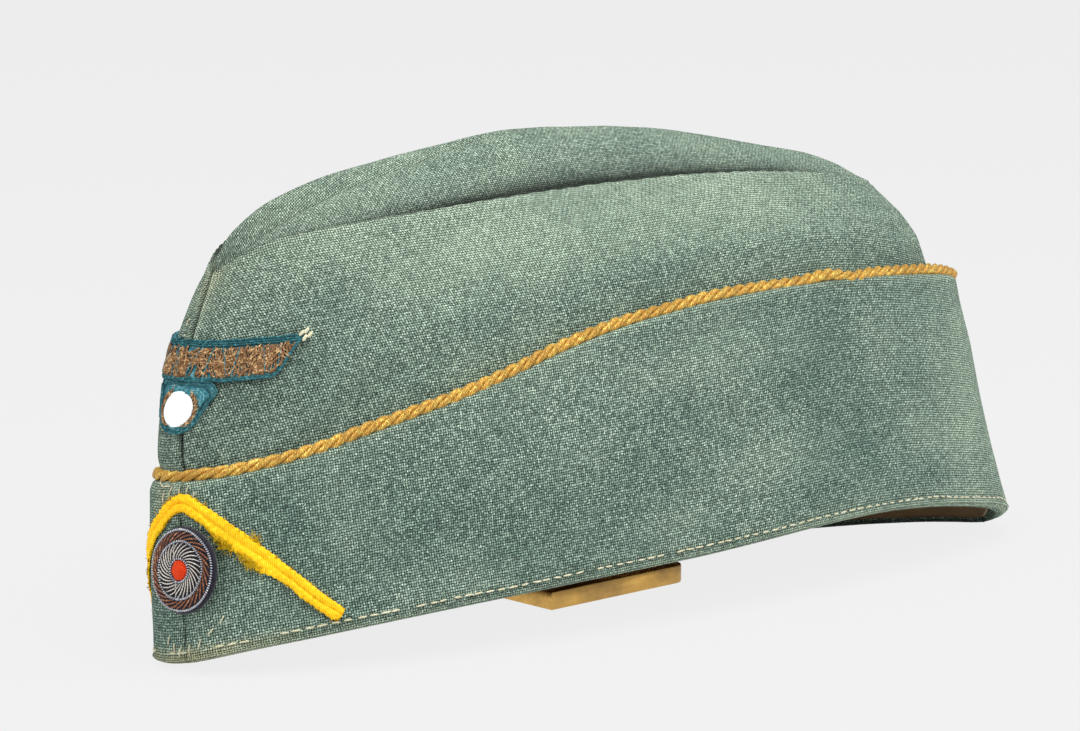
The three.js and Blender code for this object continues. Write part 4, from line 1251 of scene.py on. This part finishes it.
# Stand: the brass plate with its edges eased, and the post in the same brass
stand = {"length": 0.0505, "width": 0.032, "height": 0.005, "corner": 0.004, "sharp": 0.0004, "turn": 6,
         "frontX": 0.008, "frontY": -0.0255, "ease": 0.0004}


def buildStand():
    halfWide, halfLong, ease, height = stand["width"] / 2, stand["length"] / 2, stand["ease"], stand["height"]
    outline = []  # middle of each corner's arc, the way out of it and its radius
    for x, y, start, radius in ((halfWide, -halfLong, -90, stand["sharp"]),
                                (halfWide, halfLong, 0, stand["corner"]),
                                (-halfWide, halfLong, 90, stand["corner"]),
                                (-halfWide, -halfLong, 180, stand["sharp"])):
        for a in np.radians(start + np.linspace(0, 90, 9)):
            outline.append((x - math.copysign(radius, x), y - math.copysign(radius, y),
                            math.cos(a), math.sin(a), radius))
    cx, cy, ax, ay, radius = np.array(outline).T
    turn = math.radians(stand["turn"])
    cos, sin = math.cos(turn), math.sin(turn)
    centreX = stand["frontX"] - sin * halfLong - cos * halfWide
    centreY = stand["frontY"] + cos * halfLong - sin * halfWide
    rows = []
    for inset, z in ((None, 0.0), (-ease, 0.0), (-ease * 0.3, ease * 0.3), (0, ease), (0, height - ease),
                     (-ease * 0.3, height - ease * 0.3), (-ease, height), (None, height)):
        reach = radius + (inset or 0)
        grow = (0.8, 0.85) if inset is None else (1, 1)  # the faces above and below start further in
        x, y = (cx + ax * reach) * grow[0], (cy + ay * reach) * grow[1]
        rows.append(np.stack([centreX + x * cos - y * sin, centreY + x * sin + y * cos, z + 0 * x], -1))
    rows = np.array(rows) + shift
    plate = linkMesh("standPlate", rows, closedFaces(*rows.shape[:2]), standBrass,
                     np.zeros((*rows.shape[:2], 2)))
    plate.data.set_sharp_from_angle(angle=math.radians(25))
    keep(plate, "stand_brass", "stand_plate")
    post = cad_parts["stand_post"]
    for place in range(len(post.data.materials)):
        post.data.materials[place] = standBrass
    print("stand built")


buildCrownSides()
buildTop()
buildTurnUps()
buildLining()
buildPiping()
buildCockade()
buildChevron()
buildFrays()
buildBadge()
buildStitches()
buildStand()
bpy.data.objects.remove(grainShape)


# Camera at the photograph's angle, soft lights and a pale floor
studio = {"azimuth": 53, "elevation": 10, "distance": 1.1, "lens": 137.87,
          "target": (-0.00293, -0.01502, 0.0618), "glow": 0.866, "floorSeen": 0.955, "floorHalf": 9,
          "world": 0.43, "air": (0.93, 0.96, 1, 1),
          "lights": (("overheadBox", (0.25, -0.1, 1.1), 1.0, 13), ("rearBox", (0.75, 0.75, 0.65), 0.6, 5.5),
                     ("frontBox", (0.15, -1.1, 0.6), 0.8, 5))}  # place, size and watts


def buildStudio():
    azimuth, elevation = math.radians(studio["azimuth"]), math.radians(studio["elevation"])
    back = Vector((math.sin(azimuth) * math.cos(elevation), -math.cos(azimuth) * math.cos(elevation),
                   math.sin(elevation)))
    data = bpy.data.cameras.new("photoCamera")
    data.lens, data.sensor_width = studio["lens"], 36
    data.clip_start, data.clip_end = 0.05, 50
    camera = linkObject("photoCamera", data)
    camera.location = Vector(studio["target"]) + back * studio["distance"]
    camera.rotation_euler = (-back).to_track_quat("-Z", "Y").to_euler()
    bpy.context.scene.camera = camera

    material = bpy.data.materials.new("paleFloor")
    material.use_nodes = True
    tree = material.node_tree
    tree.nodes.remove(tree.nodes["Principled BSDF"])
    matt = addNode(tree, "ShaderNodeBsdfDiffuse", {"Color": tone(236, 236, 236)})
    glow = addNode(tree, "ShaderNodeEmission", {"Color": (1, 1, 1, 1), "Strength": studio["glow"]})
    rays = addNode(tree, "ShaderNodeLightPath").outputs
    seen = calc(tree, "MAXIMUM", rays["Is Camera Ray"], rays["Is Glossy Ray"])
    seen = calc(tree, "MULTIPLY", seen, studio["floorSeen"])
    both = addNode(tree, "ShaderNodeMixShader", {0: seen})
    tree.links.new(matt.outputs[0], both.inputs[1])
    tree.links.new(glow.outputs[0], both.inputs[2])
    tree.links.new(both.outputs[0], tree.nodes["Material Output"].inputs["Surface"])
    corners = [(0, 0), (1, 0), (1, 1), (0, 1)]
    points = [(studio["floorHalf"] * (2 * x - 1), studio["floorHalf"] * (2 * y - 1), 0) for x, y in corners]
    linkMesh("paleFloor", points, [[0, 1, 2, 3]], material, corners)

    bpy.context.scene.view_settings.view_transform = "Standard"  # keeps the braid and the cord bright
    world = bpy.data.worlds.new("studioAir")
    bpy.context.scene.world = world
    world.use_nodes = True
    air = world.node_tree.nodes["Background"].inputs
    air["Color"].default_value = studio["air"]
    air["Strength"].default_value = studio["world"]

    for name, place, size, power in studio["lights"]:
        light = bpy.data.lights.new(name, "AREA")
        light.shape, light.size, light.energy = "SQUARE", size, power
        lamp = linkObject(name, light)
        lamp.location = place
        lamp.rotation_euler = (Vector((0, 0, 0.05)) - Vector(place)).to_track_quat("-Z", "Y").to_euler()
    print("studio set")


buildStudio()
